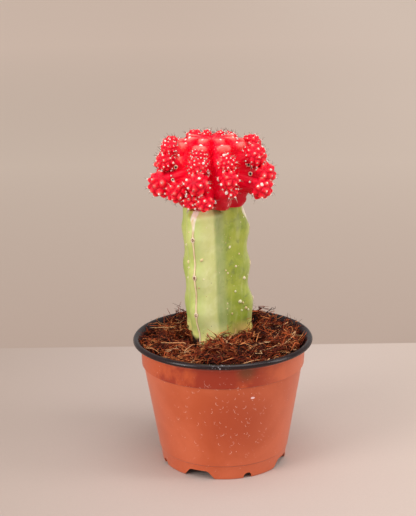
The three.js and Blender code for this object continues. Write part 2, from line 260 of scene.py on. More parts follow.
def writeValues(mesh, name, values, kind="FLOAT"):
    made = mesh.attributes.new(name, kind, "POINT")
    made.data.foreach_set("value" if kind == "FLOAT" else "vector", np.asarray(values, np.float32).ravel())


def facesOutwards(mesh):
    shape = bmesh.new()
    shape.from_mesh(mesh)
    bmesh.ops.recalc_face_normals(shape, faces=shape.faces)
    shape.to_mesh(mesh)
    shape.free()


def bakeModifiers(piece):
    graph = bpy.context.evaluated_depsgraph_get()
    final = piece.evaluated_get(graph)
    mesh = bpy.data.meshes.new_from_object(final, preserve_all_data_layers=True, depsgraph=graph)
    piece.modifiers.clear()
    piece.data = mesh
    mesh.name = piece.name


# Joins or cuts a piece with an object or a collection of objects, which are removed then.
def joinWith(piece, tool, operation):
    cut = piece.modifiers.new("join", "BOOLEAN")
    cut.operation = operation
    cut.solver = "MANIFOLD"
    used = [tool]
    if isinstance(tool, bpy.types.Collection):
        cut.operand_type = "COLLECTION"
        cut.collection = tool
        used = list(tool.objects)
    else:
        cut.object = tool
    bakeModifiers(piece)
    for item in used:
        bpy.data.objects.remove(item)


def smoothShaded(mesh, sharpFrom):
    mesh.shade_smooth()
    mesh.set_sharp_from_angle(angle=math.radians(sharpFrom))


def dress(mesh, *materials):
    mesh.materials.clear()
    for material in materials:
        mesh.materials.append(material)


# ---- small tools for node trees ----
def node(tree, kind, inputs=None, **settings):
    made = tree.nodes.new(kind)
    for name, value in settings.items():
        setattr(made, name, value)
    for name, value in (inputs or {}).items():
        if isinstance(value, bpy.types.NodeSocket):
            tree.links.new(value, made.inputs[name])
        else:
            made.inputs[name].default_value = value
    return made


# A node that is used for its first output only.
def step(tree, kind, inputs=None, **settings):
    return node(tree, kind, inputs, **settings).outputs[0]


def maths(tree, operation, *values):
    return step(tree, "ShaderNodeMath", dict(enumerate(values)), operation=operation)


def times(tree, first, *others):
    for value in others:
        first = maths(tree, "MULTIPLY", first, value)
    return first


def linear(tree, value, factor, start):
    return maths(tree, "MULTIPLY_ADD", value, factor, start)


def apart(tree, first, second):
    return maths(tree, "ABSOLUTE", maths(tree, "SUBTRACT", first, second))


def vectors(tree, operation, *values):
    made = node(tree, "ShaderNodeVectorMath", dict(enumerate(values)), operation=operation).outputs
    return made["Value" if operation in ("DISTANCE", "LENGTH") else "Vector"]


def scaled(tree, vector, factor):
    return step(tree, "ShaderNodeVectorMath", {0: vector, "Scale": factor}, operation="SCALE")


def ranged(tree, value, fromLow, fromHigh, toLow=0.0, toHigh=1.0, kind="SMOOTHSTEP"):
    sizes = {"Value": value, "From Min": fromLow, "From Max": fromHigh, "To Min": toLow, "To Max": toHigh}
    return node(tree, "ShaderNodeMapRange", sizes, interpolation_type=kind).outputs[0]


# A colour as the nodes take it, from a socket or from red, green and blue between 0 and 255 on screen.
def shown(colour):
    if isinstance(colour, bpy.types.NodeSocket):
        return colour
    shares = [level / 255 for level in colour]
    return (*(s / 12.92 if s < 0.04045 else ((s + 0.055) / 1.055) ** 2.4 for s in shares), 1.0)


def mixed(tree, share, first, second):
    inputs = {0: share, 6: shown(first), 7: shown(second)}
    return node(tree, "ShaderNodeMix", inputs, data_type="RGBA").outputs[2]


# Lays a colour over the one below it, by the product of the shares.
def over(tree, below, colour, *shares):
    return mixed(tree, times(tree, *shares), below, colour)


# Lays several colours over one another in turn. Each layer is a colour and its shares.
def layered(tree, body, layers):
    for layer in layers:
        body = over(tree, body, *layer)
    return body


def ramped(tree, value, stops):
    made = node(tree, "ShaderNodeValToRGB", {"Fac": value})
    ends = made.color_ramp.elements
    stops = list(stops)
    while len(ends) < len(stops):
        ends.new(0.5)
    for end, (place, colour) in zip(ends, stops):
        end.position = place
        end.color = shown(colour)
    return made.outputs["Color"]


def noisy(tree, vector, scale, detail=3.0, roughness=0.55, distortion=0.0):
    return step(tree, "ShaderNodeTexNoise", {
        "Vector": vector, "Scale": scale, "Detail": detail, "Roughness": roughness, "Distortion": distortion,
    })


def attribute(tree, name):
    return node(tree, "ShaderNodeAttribute", attribute_name=name).outputs["Fac"]


# The x, y and z of a place.
def axes(tree, place):
    return node(tree, "ShaderNodeSeparateXYZ", {"Vector": place}).outputs


# A mask that is 1 within a reach of a point, in metres, and fades out beyond it.
def near(tree, place, point, reach, fade):
    return ranged(tree, vectors(tree, "DISTANCE", place, point), reach + fade, reach)


def newMaterial(name, constants):
    material = bpy.data.materials.new(name)
    material.use_nodes = True
    tree = material.node_tree
    for socket, value in constants.items():
        tree.nodes["Principled BSDF"].inputs[socket].default_value = value
    return material, tree, node(tree, "ShaderNodeTexCoord").outputs["Object"]


def finished(material, colour, roughness=None, height=None, bump=0.3, depth=0.0005):
    tree = material.node_tree
    shader = tree.nodes["Principled BSDF"].inputs
    tree.links.new(colour, shader["Base Color"])
    if roughness is not None:
        tree.links.new(roughness, shader["Roughness"])
    if height is not None:
        relief = step(tree, "ShaderNodeBump", {"Strength": bump, "Distance": depth, "Height": height})
        tree.links.new(relief, shader["Normal"])
    return material


# An empty node group for an effect that several materials use: a place and named numbers in, one value out.
def effectGroup(name, numbers):
    tree = bpy.data.node_groups.new(name, "ShaderNodeTree")
    tree.interface.new_socket("Vector", in_out="INPUT", socket_type="NodeSocketVector")
    for label, value in numbers.items():
        socket = tree.interface.new_socket(label, in_out="INPUT", socket_type="NodeSocketFloat")
        socket.default_value = value
    tree.interface.new_socket("Value", in_out="OUTPUT", socket_type="NodeSocketFloat")
    return tree, node(tree, "NodeGroupInput").outputs


def closeEffect(tree, value):
    node(tree, "NodeGroupOutput", {"Value": value})
    return tree


# Uses an effect at a place, with its numbers in their order.
def effect(tree, group, place, *numbers):
    return step(tree, "ShaderNodeGroup", dict(enumerate((place, *numbers))), node_tree=group)


# Cloudy patches from 0 to 1.
def makeMottle():
    tree, given = effectGroup("mottle", {"Scale": 60.0, "Low": 0.4, "High": 0.6})
    cloud = noisy(tree, given["Vector"], given["Scale"], 4.0, 0.6, 0.4)
    return closeEffect(tree, ranged(tree, cloud, given["Low"], given["High"]))


# Cells round scattered centres, and three random numbers for each.
def cellsOf(tree, given):
    cells = node(tree, "ShaderNodeTexVoronoi", {"Vector": given["Vector"], "Scale": given["Scale"]}).outputs
    return cells, node(tree, "ShaderNodeSeparateColor", {"Color": cells["Color"]}).outputs


# Scattered round dots: Scale sets how close they stand, Size their radius as a share of that, Share how many.
def makeDots():
    tree, given = effectGroup("dots", {"Scale": 200.0, "Size": 0.08, "Share": 0.5})
    cells, chance = cellsOf(tree, given)
    radius = times(tree, given["Size"], maths(tree, "ADD", 0.45, chance[1]))
    dot = ranged(tree, maths(tree, "SUBTRACT", radius, cells["Distance"]), 0.0, 0.03)
    return closeEffect(tree, times(tree, dot, maths(tree, "LESS_THAN", chance[0], given["Share"])))


# Thin U-shaped scratches: the lower parts of rings round scattered centres, broken up by noise.
def makeArcs():
    tree, given = effectGroup("arcs", {"Scale": 90.0, "Width": 0.02, "Share": 0.5})
    cells, chance = cellsOf(tree, given)
    radius = linear(tree, chance[1], 0.26, 0.12)
    line = ranged(tree, apart(tree, cells["Distance"], radius), given["Width"], 0.0)
    side = vectors(tree, "SUBTRACT", given["Vector"], cells["Position"])
    turned = step(tree, "ShaderNodeVectorRotate", {
        "Vector": side, "Angle": linear(tree, chance[2], 2.4, -1.2),
    }, rotation_type="Z_AXIS")
    lower = ranged(tree, axes(tree, vectors(tree, "NORMALIZE", turned))[1], -0.1, -0.6)
    broken = ranged(tree, noisy(tree, given["Vector"], 700.0, 2.0), 0.4, 0.56, 0.1)
    kept = maths(tree, "LESS_THAN", chance[0], given["Share"])
    return closeEffect(tree, times(tree, line, lower, kept, broken))


# Fine uneven relief for bumps.
def makeGrain():
    tree, given = effectGroup("grain", {"Scale": 600.0, "Pits": 0.3})
    fine = noisy(tree, given["Vector"], given["Scale"], 4.0, 0.6)
    return closeEffect(tree, linear(tree, cellsOf(tree, given)[0]["Distance"], given["Pits"], fine))


mottle, dots, arcs, grain = makeMottle(), makeDots(), makeArcs(), makeGrain()


# A material whose colour follows each piece's tone, with patches. Its relief is a grain or the patches.
def tonedMaterial(look):
    material, tree, place = newMaterial(look["name"], look["shader"])
    patches = effect(tree, mottle, place, *look["patches"])
    body = ramped(tree, attribute(tree, "tone"), look["tones"])
    body = over(tree, body, look["patchColour"], patches, look["patchShare"])
    if "relief" not in look:
        return finished(material, body)
    height = effect(tree, grain, place, *look["grain"]) if "grain" in look else patches
    return finished(material, body, None, height, *look["relief"])


# An empty Geometry Nodes tree with its named sizes as inputs, and a material.
def geometryTree(name, sizes):
    tree = bpy.data.node_groups.new(name, "GeometryNodeTree")
    tree.interface.new_socket("Geometry", in_out="INPUT", socket_type="NodeSocketGeometry")
    for label, value in sizes.items():
        kind = "NodeSocketInt" if isinstance(value, int) else "NodeSocketFloat"
        tree.interface.new_socket(label, in_out="INPUT", socket_type=kind).default_value = value
    tree.interface.new_socket("Material", in_out="INPUT", socket_type="NodeSocketMaterial")
    tree.interface.new_socket("Geometry", in_out="OUTPUT", socket_type="NodeSocketGeometry")
    return tree, node(tree, "NodeGroupInput").outputs


# Ends a tree with real geometry, smooth shading and the material.
def closeTree(tree, geometry, given):
    real = step(tree, "GeometryNodeRealizeInstances", {"Geometry": geometry})
    shaded = step(tree, "GeometryNodeSetShadeSmooth", {"Geometry": real})
    dressed = step(tree, "GeometryNodeSetMaterial", {"Geometry": shaded, "Material": given["Material"]})
    node(tree, "NodeGroupOutput", {"Geometry": dressed})
    return tree


def randomNumber(tree, low, high, seed):
    return node(tree, "FunctionNodeRandomValue", {2: low, 3: high, 8: seed}, data_type="FLOAT").outputs[1]


def randomVector(tree, low, high, seed):
    return step(tree, "FunctionNodeRandomValue", {0: low, 1: high, 8: seed}, data_type="FLOAT_VECTOR")


def vectorOf(tree, x=0.0, y=0.0, z=0.0):
    return step(tree, "ShaderNodeCombineXYZ", {"X": x, "Y": y, "Z": z})


def named(tree, name, kind):
    return step(tree, "GeometryNodeInputNamedAttribute", {"Name": name}, data_type=kind)


def moved(tree, geometry, offset):
    return step(tree, "GeometryNodeSetPosition", {"Geometry": geometry, "Offset": offset})


# Gives every instance its own tone.
def toned(tree, instances, tone):
    return step(tree, "GeometryNodeStoreNamedAttribute", {
        "Geometry": instances, "Name": "tone", "Value": tone,
    }, data_type="FLOAT", domain="INSTANCE")


# An offset that wavers from place to place.
def wavering(tree, scale, reach):
    place = step(tree, "GeometryNodeInputPosition")
    swirl = node(tree, "ShaderNodeTexNoise", {"Vector": place, "Scale": scale, "Detail": 1.0}).outputs
    return scaled(tree, vectors(tree, "SUBTRACT", swirl["Color"], (0.5, 0.5, 0.5)), reach)


def steppedLine(tree, start, end, count):
    line = step(tree, "GeometryNodeCurvePrimitiveLine", {"Start": start, "End": end})
    return step(tree, "GeometryNodeResampleCurve", {"Curve": line, "Count": count})


# Sweeps curves with a section that has so many sides and is as wide as the scale.
def swept(tree, curves, sides, scale):
    section = step(tree, "GeometryNodeCurvePrimitiveCircle", {"Resolution": sides, "Radius": 1.0})
    return step(tree, "GeometryNodeCurveToMesh", {
        "Curve": curves, "Profile Curve": section, "Scale": scale, "Fill Caps": True,
    })


# Puts an instance on every point, along the point's direction, with a random turn and tone.
def planted(tree, given, instance, swing, scale):
    direction = named(tree, "outwards", "FLOAT_VECTOR")
    aimedUp = step(tree, "FunctionNodeAlignRotationToVector", {"Vector": direction}, axis="Z")
    turn = randomVector(tree, (0, 0, 0), (swing, swing, 6.28), given["Seed"])
    rotations = {"Rotation": aimedUp, "Rotate By": turn}
    spun = step(tree, "FunctionNodeRotateRotation", rotations, rotation_space="LOCAL")
    placed = step(tree, "GeometryNodeInstanceOnPoints", {
        "Points": given["Geometry"], "Instance": instance, "Rotation": spun, "Scale": scale,
    })
    return toned(tree, placed, randomNumber(tree, 0.0, 1.0, given["Seed"]))


# Runs a tree on a carrier with its own values and keeps the result as a plain mesh, without the carrier.
def grow(name, carrier, tree, values):
    modifier = carrier.modifiers.new(name, "NODES")
    modifier.node_group = tree
    for item in tree.interface.items_tree:
        if item.item_type == "SOCKET" and item.in_out == "INPUT" and item.name in values:
            modifier[item.identifier] = values[item.name]
    bakeModifiers(carrier)
    mesh = carrier.data
    mesh.name = name
    bpy.data.objects.remove(carrier)
    return linked(name, mesh)


# Grows something on every place: a point, a direction and a size, all in mm.
def growOn(name, places, tree, values):
    points, directions, sizes = zip(*places)
    carrier = meshPiece(name + "Places", [point * mm for point in points], [])
    writeValues(carrier.data, "outwards", directions, "FLOAT_VECTOR")
    writeValues(carrier.data, "size", [size * mm for size in sizes])
    return grow(name, carrier, tree, values)


# ---- stage ----
def makeFloorMaterial():
    material, tree, place = newMaterial("palePaper", {"Roughness": 0.9})
    across, along, _ = axes(tree, place)
    # painted shade: the table darker to the left, and the wall part beyond it darker near the table and to
    # the left
    table = ramped(tree, ranged(tree, across, -0.2, 0.16, kind="LINEAR"), stage["table"])
    left = ramped(tree, ranged(tree, along, 0.19, 2.6, kind="LINEAR"), stage["beyondLeft"])
    right = times(tree, ranged(tree, across, -0.2, 0.7, 0.0, 0.8), ranged(tree, along, 0.2, 1.6, 0.1, 1.0))
    beyond = mixed(tree, right, left, stage["beyondRight"])
    atEnd = ranged(tree, along, stage["tableEnd"] - 0.001, stage["tableEnd"] + 0.001)
    flat = mixed(tree, atEnd, table, beyond)
    fleck = effect(tree, grain, place, 900.0, 0.4)
    flat = over(tree, flat, stage["fleck"], ranged(tree, fleck, 0.3, 0.9, 0.0, 0.05))
    return finished(material, flat, None, fleck, 0.08)


def makeStage():
    half, low = stage["size"] / 2, -stage["below"]
    corners = [(-half, -half, low), (half, -half, low), (half, half, low), (-half, half, low)]
    floor = meshPiece("floor", corners, [(0, 1, 2, 3)])
    dress(floor.data, makeFloorMaterial())


# ---- pot ----
pot = {
    "height": 74.6,
    "wall": 1.2,
    "footRadius": 36.3,
    "footLine": 8.7,
    "footLineRadius": 37.8,
    "collarHeight": 58.9,
    "collarRadius": 47.1,
    "collarStep": 1.0,
    "beadStep": 1.1,
    "rimRadius": 52.0,
    "rimDepth": 3.0,
    "floorHeight": 3.4,
    "floorThickness": 1.1,
    "sides": 200,
}
drain = {
    "wideBottom": 20.5,
    "wideTop": 11.0,
    "wideHeight": 4.9,
    "smallWidth": 5.0,
    "smallHeight": 3.3,
    "holeRadius": 3.0,
    "holeCircle": 20.0,
    "wideAt": -24,
    "smallAt": 21,
    "reach": 8.0,
}
potFinish = {
    "shader": {"Roughness": 0.42, "Specular IOR Level": 0.42, "Sheen Weight": 0.1, "Sheen Roughness": 0.5},
    "body": (196, 86, 42),
    "bodyPale": (212, 104, 64),
    # painted shade: the body darker at the front of the wall, between the lights at the sides
    "bodyShaded": (178, 66, 22),
    "collar": (154, 36, 0),
    "collarPale": (198, 82, 34),
    "brown": (96, 62, 24),
    "line": (112, 56, 48),
    "dust": (250, 214, 196),
    "pink": (255, 214, 216),
    "scratchCentre": (-0.001, -0.043, 0.036),  # metres
    "shadedAt": (0.007, -0.0425, 0.037),
    "brownPatch": (0.0125, -0.0462, 0.0685),
    "paleSpeck": (0.0158, -0.0431, 0.0518),
    "scuff": (-0.0035, -0.0505, 0.0745),
    # dark lines at the collar step, the foot line and under the rim: painted shade in the steps, with dirt
    # along them
    "lines": [(0.0588, 0.0004), (0.00855, 0.0004), (0.0702, 0.0003)],  # height and width
    "curls": [(125.0, 0.02, 0.75), (210.0, 0.03, 0.7), (330.0, 0.05, 0.6), (95.0, 0.014, 0.5)],
    "liningShader": {"Specular IOR Level": 0.4},
    "lining": (22, 4, 7),
    "liningPale": (34, 12, 15),
    "liningScuff": (190, 182, 186),
    "liningDust": (180, 168, 168),
    "wallRadius": 0.043,  # radius that the wall is unrolled at
}


# Half section from the axis under the floor, out and up over the rim and back down, as radius and height.
def potOutline():
    rimBottom = pot["height"] - pot["rimDepth"]
    foot, line, collar = pot["footRadius"], pot["footLineRadius"], pot["collarRadius"]
    bead, wall = collar + pot["beadStep"], pot["wall"]
    top, floorTop = pot["height"], pot["floorHeight"] + pot["floorThickness"]
    return rounded([
        (0.02, pot["floorHeight"], 0),
        (foot - wall - 0.7, pot["floorHeight"], 0.4),
        (foot - wall - 0.4, 0, 0.25),
        (foot - 0.4, 0, 0.3),
        (foot, 0.8, 0.5),
        (line - 0.5, pot["footLine"] - 0.3, 0.2),
        (line, pot["footLine"], 0.35),
        (collar - pot["collarStep"], pot["collarHeight"] - 0.2, 0.3),
        (collar, pot["collarHeight"], 0.45),
        (collar + 0.5, rimBottom - 1.9, 0.35),
        (bead, rimBottom - 1.6, 0.4),
        (bead, rimBottom + 0.3, 0.15),
        (pot["rimRadius"] - 0.7, rimBottom, 0.5),
        (pot["rimRadius"], rimBottom + 0.7, 0.6),
        (pot["rimRadius"], top - 1.1, 1.1),
        (pot["rimRadius"] - 1.1, top, 1.1),
        (pot["rimRadius"] - 2.8, top - 0.3, 1.2),
        (bead - wall, rimBottom, 0.8),
        (collar - wall - 0.2, pot["collarHeight"] - 0.2, 0.8),
        (collar - pot["collarStep"] - wall, pot["collarHeight"] - 1.4, 0.8),
        (line - wall - 0.2, pot["footLine"], 0.8),
        (foot - wall - 0.1, floorTop, 0.8),
        (0.02, floorTop, 0),
    ])


# Turns an open outline round the Z axis. Its x is the distance from the path and its y is the depth.
def makeRevolveTree():
    tree, given = geometryTree("revolve", {"Path Radius": 0.04, "Sides": 64, "Weld": 0.0001})
    sizes = {"Resolution": given["Sides"], "Radius": given["Path Radius"]}
    path = step(tree, "GeometryNodeCurvePrimitiveCircle", sizes)
    outline = step(tree, "GeometryNodeMeshToCurve", {"Mesh": given["Geometry"]})
    turned = step(tree, "GeometryNodeCurveToMesh", {"Curve": path, "Profile Curve": outline})
    welded = step(tree, "GeometryNodeMergeByDistance", {"Geometry": turned, "Distance": given["Weld"]})
    return closeTree(tree, welded, given)


# A prism with its outline in x and z, running through the pot's skirt at an azimuth.
def skirtCutter(outline, azimuth):
    turn = Matrix.Rotation(math.radians(azimuth), 4, "Z")
    ends = pot["footRadius"] - drain["reach"] / 2, pot["footRadius"] + drain["reach"] / 2
    return prism(*([turn @ Vector((p.x, -out, p.y)) * mm for p in outline] for out in ends))


def holeCutter(azimuth):
    middle = heading(azimuth) * drain["holeCircle"]
    ring = [p * drain["holeRadius"] + middle for p in unitCircle]
    return prism(*([(p + upBy(z)) * mm for p in ring] for z in (0, 2 * pot["floorHeight"])))


def drainCutters():
    half, top, height = drain["wideBottom"] / 2, drain["wideTop"] / 2, drain["wideHeight"]
    wide = rounded([(-half, -1, 0), (half, -1, 0), (top, height, 1.6), (-top, height, 1.6)], closed=True)
    half, crown = drain["smallWidth"] / 2, drain["smallHeight"] - drain["smallWidth"] / 2
    turns = [math.radians(a) for a in range(0, 181, 15)]
    arch = [Vector((half * math.cos(turn), crown + half * math.sin(turn))) for turn in turns]
    small = [Vector((-half, -1)), Vector((half, -1)), *arch]
    shapes = []
    for quarter in (0, 90, 180, 270):
        shapes.append(skirtCutter(wide, drain["wideAt"] + quarter))
        shapes.append(skirtCutter(small, drain["smallAt"] + quarter))
        shapes.append(holeCutter(45 + quarter))
    cutters = meshPiece("cutters", *merged(shapes))
    facesOutwards(cutters.data)
    return cutters


# Radius of the pot's outside at a height, in mm, up to its collar.
def outsideRadius(z):
    if z < pot["footLine"]:
        return lerp(pot["footRadius"], pot["footLineRadius"] - 0.5, z / pot["footLine"])
    share = (z - pot["footLine"]) / (pot["collarHeight"] - pot["footLine"])
    return lerp(pot["footLineRadius"], pot["collarRadius"] - pot["collarStep"], share)


# Black inside and on the rim, orange outside and on what the notches cut.
def isLining(face):
    outwards = Vector((face.center.x, face.center.y, 0)).normalized()
    facing, z = face.normal.dot(outwards), face.center.z / mm
    if z > pot["height"] - pot["rimDepth"] - 0.1 or facing < -0.25:
        return True
    insideSkirt = face.center.xy.length < (pot["footRadius"] - pot["wall"]) * mm + 0.0001
    return abs(face.normal.z) > 0.9 and z < pot["collarHeight"] and insideSkirt


# UV map with the distance round the wall and the height, both in metres.
def unwrapWall(mesh, name, radius):
    layer = mesh.uv_layers.new(name=name)
    for face in mesh.polygons:
        turns = [math.atan2(mesh.vertices[v].co.x, -mesh.vertices[v].co.y) for v in face.vertices]
        if max(turns) - min(turns) > math.pi:
            turns = [turn + 2 * math.pi if turn < 0 else turn for turn in turns]
        for loop, vertex, turn in zip(face.loop_indices, face.vertices, turns):
            layer.data[loop].uv = (turn * radius, mesh.vertices[vertex].co.z)


def dustSpecks(tree, wall, amount):
    fine = effect(tree, dots, wall, 430.0, 0.1, 0.22 * amount)
    return maths(tree, "MAXIMUM", fine, effect(tree, dots, wall, 160.0, 0.06, 0.24 * amount))


# Short straight marks: dots drawn out along a slant.
def dashes(tree, wall, slant, share):
    turned = step(tree, "ShaderNodeVectorRotate", {"Vector": wall, "Angle": slant}, rotation_type="Z_AXIS")
    return effect(tree, dots, vectors(tree, "MULTIPLY", turned, (0.22, 1.0, 1.0)), 300.0, 0.045, share)


def makeTerracotta():
    material, tree, place = newMaterial("terracottaPlastic", potFinish["shader"])
    colour = potFinish
    wall = step(tree, "ShaderNodeUVMap", uv_map="wall")
    across, _, height = axes(tree, place)
    cloud = effect(tree, mottle, place, 24.0, 0.32, 0.68)
    bands = effect(tree, mottle, place, 38.0, 0.44, 0.6)
    collar = layered(tree, mixed(tree, bands, colour["collar"], colour["collarPale"]), [
        # painted light: the collar paler towards the right, where the light falls on it
        (colour["bodyPale"], ranged(tree, across, 0.012, 0.042, 0.0, 0.95)),
        (colour["brown"], near(tree, place, colour["brownPatch"], 0.001, 0.0075), 0.75),
    ])
    body = layered(tree, mixed(tree, cloud, colour["body"], colour["bodyPale"]), [
        # painted shade: darker at the front middle of the wall, between the lights at the sides
        (colour["bodyShaded"], near(tree, place, colour["shadedAt"], 0.005, 0.026), 0.8),
        (collar, ranged(tree, height, 0.0587, 0.0591), 0.9),
    ])
    # painted shade in the steps, with dirt along them: dark lines at the collar step, the foot line and under
    # the rim
    for level, width in colour["lines"]:
        line = ranged(tree, apart(tree, height, level), width, 0.0, 0.0, 0.6)
        body = over(tree, body, colour["line"], line)
    scraped = near(tree, place, colour["scratchCentre"], 0.016, 0.02)
    marks = maths(tree, "MAXIMUM", dashes(tree, wall, 0.6, 0.2), dashes(tree, wall, -0.9, 0.2))
    for curl in colour["curls"]:
        marks = maths(tree, "MAXIMUM", marks, effect(tree, arcs, wall, *curl))
    marks = times(tree, marks, linear(tree, scraped, 0.75, 0.08))
    dust = times(tree, dustSpecks(tree, wall, 1.7), linear(tree, scraped, 0.45, 0.3))
    speck = vectors(tree, "SUBTRACT", place, colour["paleSpeck"])
    oval = vectors(tree, "LENGTH", vectors(tree, "MULTIPLY", speck, (1.0, 0.3, 1.7)))
    body = layered(tree, body, [
        (colour["dust"], maths(tree, "MAXIMUM", marks, dust)),
        (colour["pink"], ranged(tree, oval, 0.0013, 0.001)),
    ])
    rough = linear(tree, marks, 0.3, linear(tree, cloud, 0.12, 0.38))
    fine = linear(tree, dust, 0.8, effect(tree, grain, place, 420.0, 0.2))
    return finished(material, body, rough, fine, 0.1, 0.0003)


def makeLining():
    material, tree, place = newMaterial("blackPlastic", potFinish["liningShader"])
    wall = step(tree, "ShaderNodeUVMap", uv_map="wall")
    cloud = effect(tree, mottle, place, 70.0, 0.35, 0.65)
    scuffs = effect(tree, mottle, place, 620.0, 0.56, 0.66)
    body = layered(tree, mixed(tree, cloud, potFinish["lining"], potFinish["liningPale"]), [
        (potFinish["liningScuff"], scuffs, near(tree, place, potFinish["scuff"], 0.002, 0.006), 0.6),
        (potFinish["liningDust"], dustSpecks(tree, wall, 0.7), 0.45),
    ])
    fine = effect(tree, grain, place, 380.0, 0.3)
    return finished(material, body, linear(tree, cloud, 0.12, 0.2), fine, 0.12, 0.0003)


def makePot():
    pathRadius = pot["footRadius"] * mm
    outline = [(p.x * mm - pathRadius, -p.y * mm, 0) for p in potOutline()]
    carrier = meshPiece("outline", outline, [], [(i, i + 1) for i in range(len(outline) - 1)])
    terracotta = makeTerracotta()
    sizes = {"Path Radius": pathRadius, "Sides": pot["sides"], "Weld": 0.0001, "Material": terracotta}
    shell = grow("potShell", carrier, makeRevolveTree(), sizes)
    facesOutwards(shell.data)
    joinWith(shell, drainCutters(), "DIFFERENCE")
    mesh = shell.data
    dress(mesh, terracotta, makeLining())
    for face in mesh.polygons:
        face.material_index = int(isLining(face))
    unwrapWall(mesh, "wall", potFinish["wallRadius"])
    smoothShaded(mesh, 38)
    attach(shell, "root")
    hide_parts("pot")
    print("pot made,", len(mesh.polygons), "faces")


# ---- rootstock ----
stem = {
    "bottom": 38.0,
    "top": 150.0,
    "areolePitch": 22.0,
    "scallop": 1.8,
    "blunt": 1.2,
    "perWing": 56,
    "rings": 200,
    "edgeDetail": 0.78,  # how much closer the columns stand at the wings' edges
    "corkRidge": 0.3,  # how far the dry line down the front wing stands out
    "unevenness": 0.35,
    "shoulder": 3.0,  # how far the top is drawn in under the scion
    "flare": 1.8,  # how far the right wing widens towards its foot
}
stemFinish = {
    "shader": {
        "Specular IOR Level": 0.4, "Subsurface Weight": 0.1, "Subsurface Radius": (0.004, 0.005, 0.002),
        "Subsurface Scale": 0.4,
    },
    "green": (150, 166, 78),
    "greenPale": (176, 184, 98),
    # The front face paler and the right face darker olive: partly the skin's own colours, partly painted
    # light and shade by how each face meets the light.
    "front": (214, 218, 138),
    "frontPale": (230, 232, 166),
    "frontEdge": (180, 198, 112),
    "olive": (142, 160, 46),
    "olivePale": (172, 182, 66),
    "left": (180, 196, 92),
    "leftPale": (202, 210, 118),
    "valley": (160, 176, 106),
    "valleyPale": (188, 194, 130),
    # dark green: painted shade at the tops of the valleys, under the scion, and the skin's own darker mottle
    "shade": (104, 120, 60),
    # pale green: painted highlight along the wings' edges, and the skin's own pale streaks and specks
    "margin": (212, 214, 150),
    # pale foot: the skin's own pale base, painted lighter still against the coir's shade
    "base": (250, 242, 150),
    "baseRight": (250, 216, 122),
    "rust": (196, 142, 106),
    "rustAt": (0.0105, 0.003, 0.0765),
    "bruise": (104, 74, 46),
    "corkEdge": (148, 108, 62),
    "cork": (226, 196, 144),
    "corkPale": (242, 222, 182),
    "scar": (250, 242, 224),
    # painted shade at the foot of the left face, where the coir's hollow shades it
    "leftFootShade": (38, 20, 12),
    "corkTones": ("corkEdge", "corkEdge", "cork", "corkPale"),
}
wings = [
    {"turn": 0, "radius": 24.1, "valley": 14.6, "areole": 91, "cutHeight": 10, "cutDepth": 4.6},
    {"turn": 120, "radius": 24.4, "valley": 14.6, "areole": 92.3, "cutHeight": 15, "cutDepth": 5},
    {"turn": 248, "radius": 18.8, "valley": 11.6, "areole": 91.2, "cutHeight": 10, "cutDepth": 2},
]


def stemTurn(z):
    return lerp(-15, -19.7, smooth(z, 64, 94))


def stemCentre(z):
    share = (z - 70) / 80
    return Vector((lerp(-6.5, -8.5, share), lerp(9.1, 7.9, share), z))


def scallopAt(wing, z):
    up = (z - wing["areole"]) / stem["areolePitch"]
    below = 1 - (up - math.floor(up))
    return stem["scallop"] * smooth(below, 0, 0.55) * (1 - smooth(below, 0.6, 1))


# Radius of the stem in the direction that is a share (0 to 1) of the way from one wing to the next, in mm.
def stemRadius(index, share, z):
    start = wings[index]
    wing = start if share < 0.5 else wings[(index + 1) % 3]
    off = min(share, 1 - share) * 2 * math.pi
    swing = (wing["radius"] - start["valley"]) / 2
    middle = (wing["radius"] + start["valley"]) / 2 - stem["blunt"]
    wave = swing * math.cos(off) + stem["blunt"] * math.cos(2 * off)
    whole = middle + wave - scallopAt(wing, z) * (0.5 + 0.5 * math.cos(off)) ** 3
    intoCut = (z - stem["top"] + wing["cutHeight"]) / wing["cutHeight"]
    if intoCut > 0:
        whole = min(whole, (wing["radius"] + 0.4 - wing["cutDepth"] * intoCut) / math.cos(off / 3))
    if wing is wings[1]:
        whole += stem["flare"] * smooth(z, 108, 80) * (0.5 + 0.5 * math.cos(off)) ** 2
    if index == 2 or index == 0 and share < 0.5:
        whole -= stem["shoulder"] * smooth(z, stem["top"] - 5, stem["top"]) ** 2
    return whole * lerp(0.72, 1, smooth(z, stem["bottom"], stem["bottom"] + 16))


def stemAzimuth(index, share, z):
    span = (wings[(index + 1) % 3]["turn"] - wings[index]["turn"] + 360) % 360
    return stemTurn(z) + wings[index]["turn"] + span * share


def stemPoint(index, share, z, outwards=0.0):
    reach = stemRadius(index, share, z) + outwards
    return stemCentre(z) + heading(stemAzimuth(index, share, z)) * reach


# Small swellings and dents that the plain outline doesn't have, in mm.
def stemUnevenness(index, share, z):
    point = stemPoint(index, share, z)
    coarse = noise.fractal(point * 0.11, 1.0, 2.0, 3)
    fine = noise.noise(point * 0.7)
    return stem["unevenness"] * coarse + 0.06 * fine


def stemRows():
    even = [i / stem["perWing"] for i in range(stem["perWing"])]
    shares = [t - stem["edgeDetail"] * math.sin(2 * math.pi * t) / (2 * math.pi) for t in even]
    for ring in range(stem["rings"] + 1):
        z = lerp(stem["bottom"], stem["top"], ring / stem["rings"])
        yield z, [(index, share) for index in range(3) for share in shares]


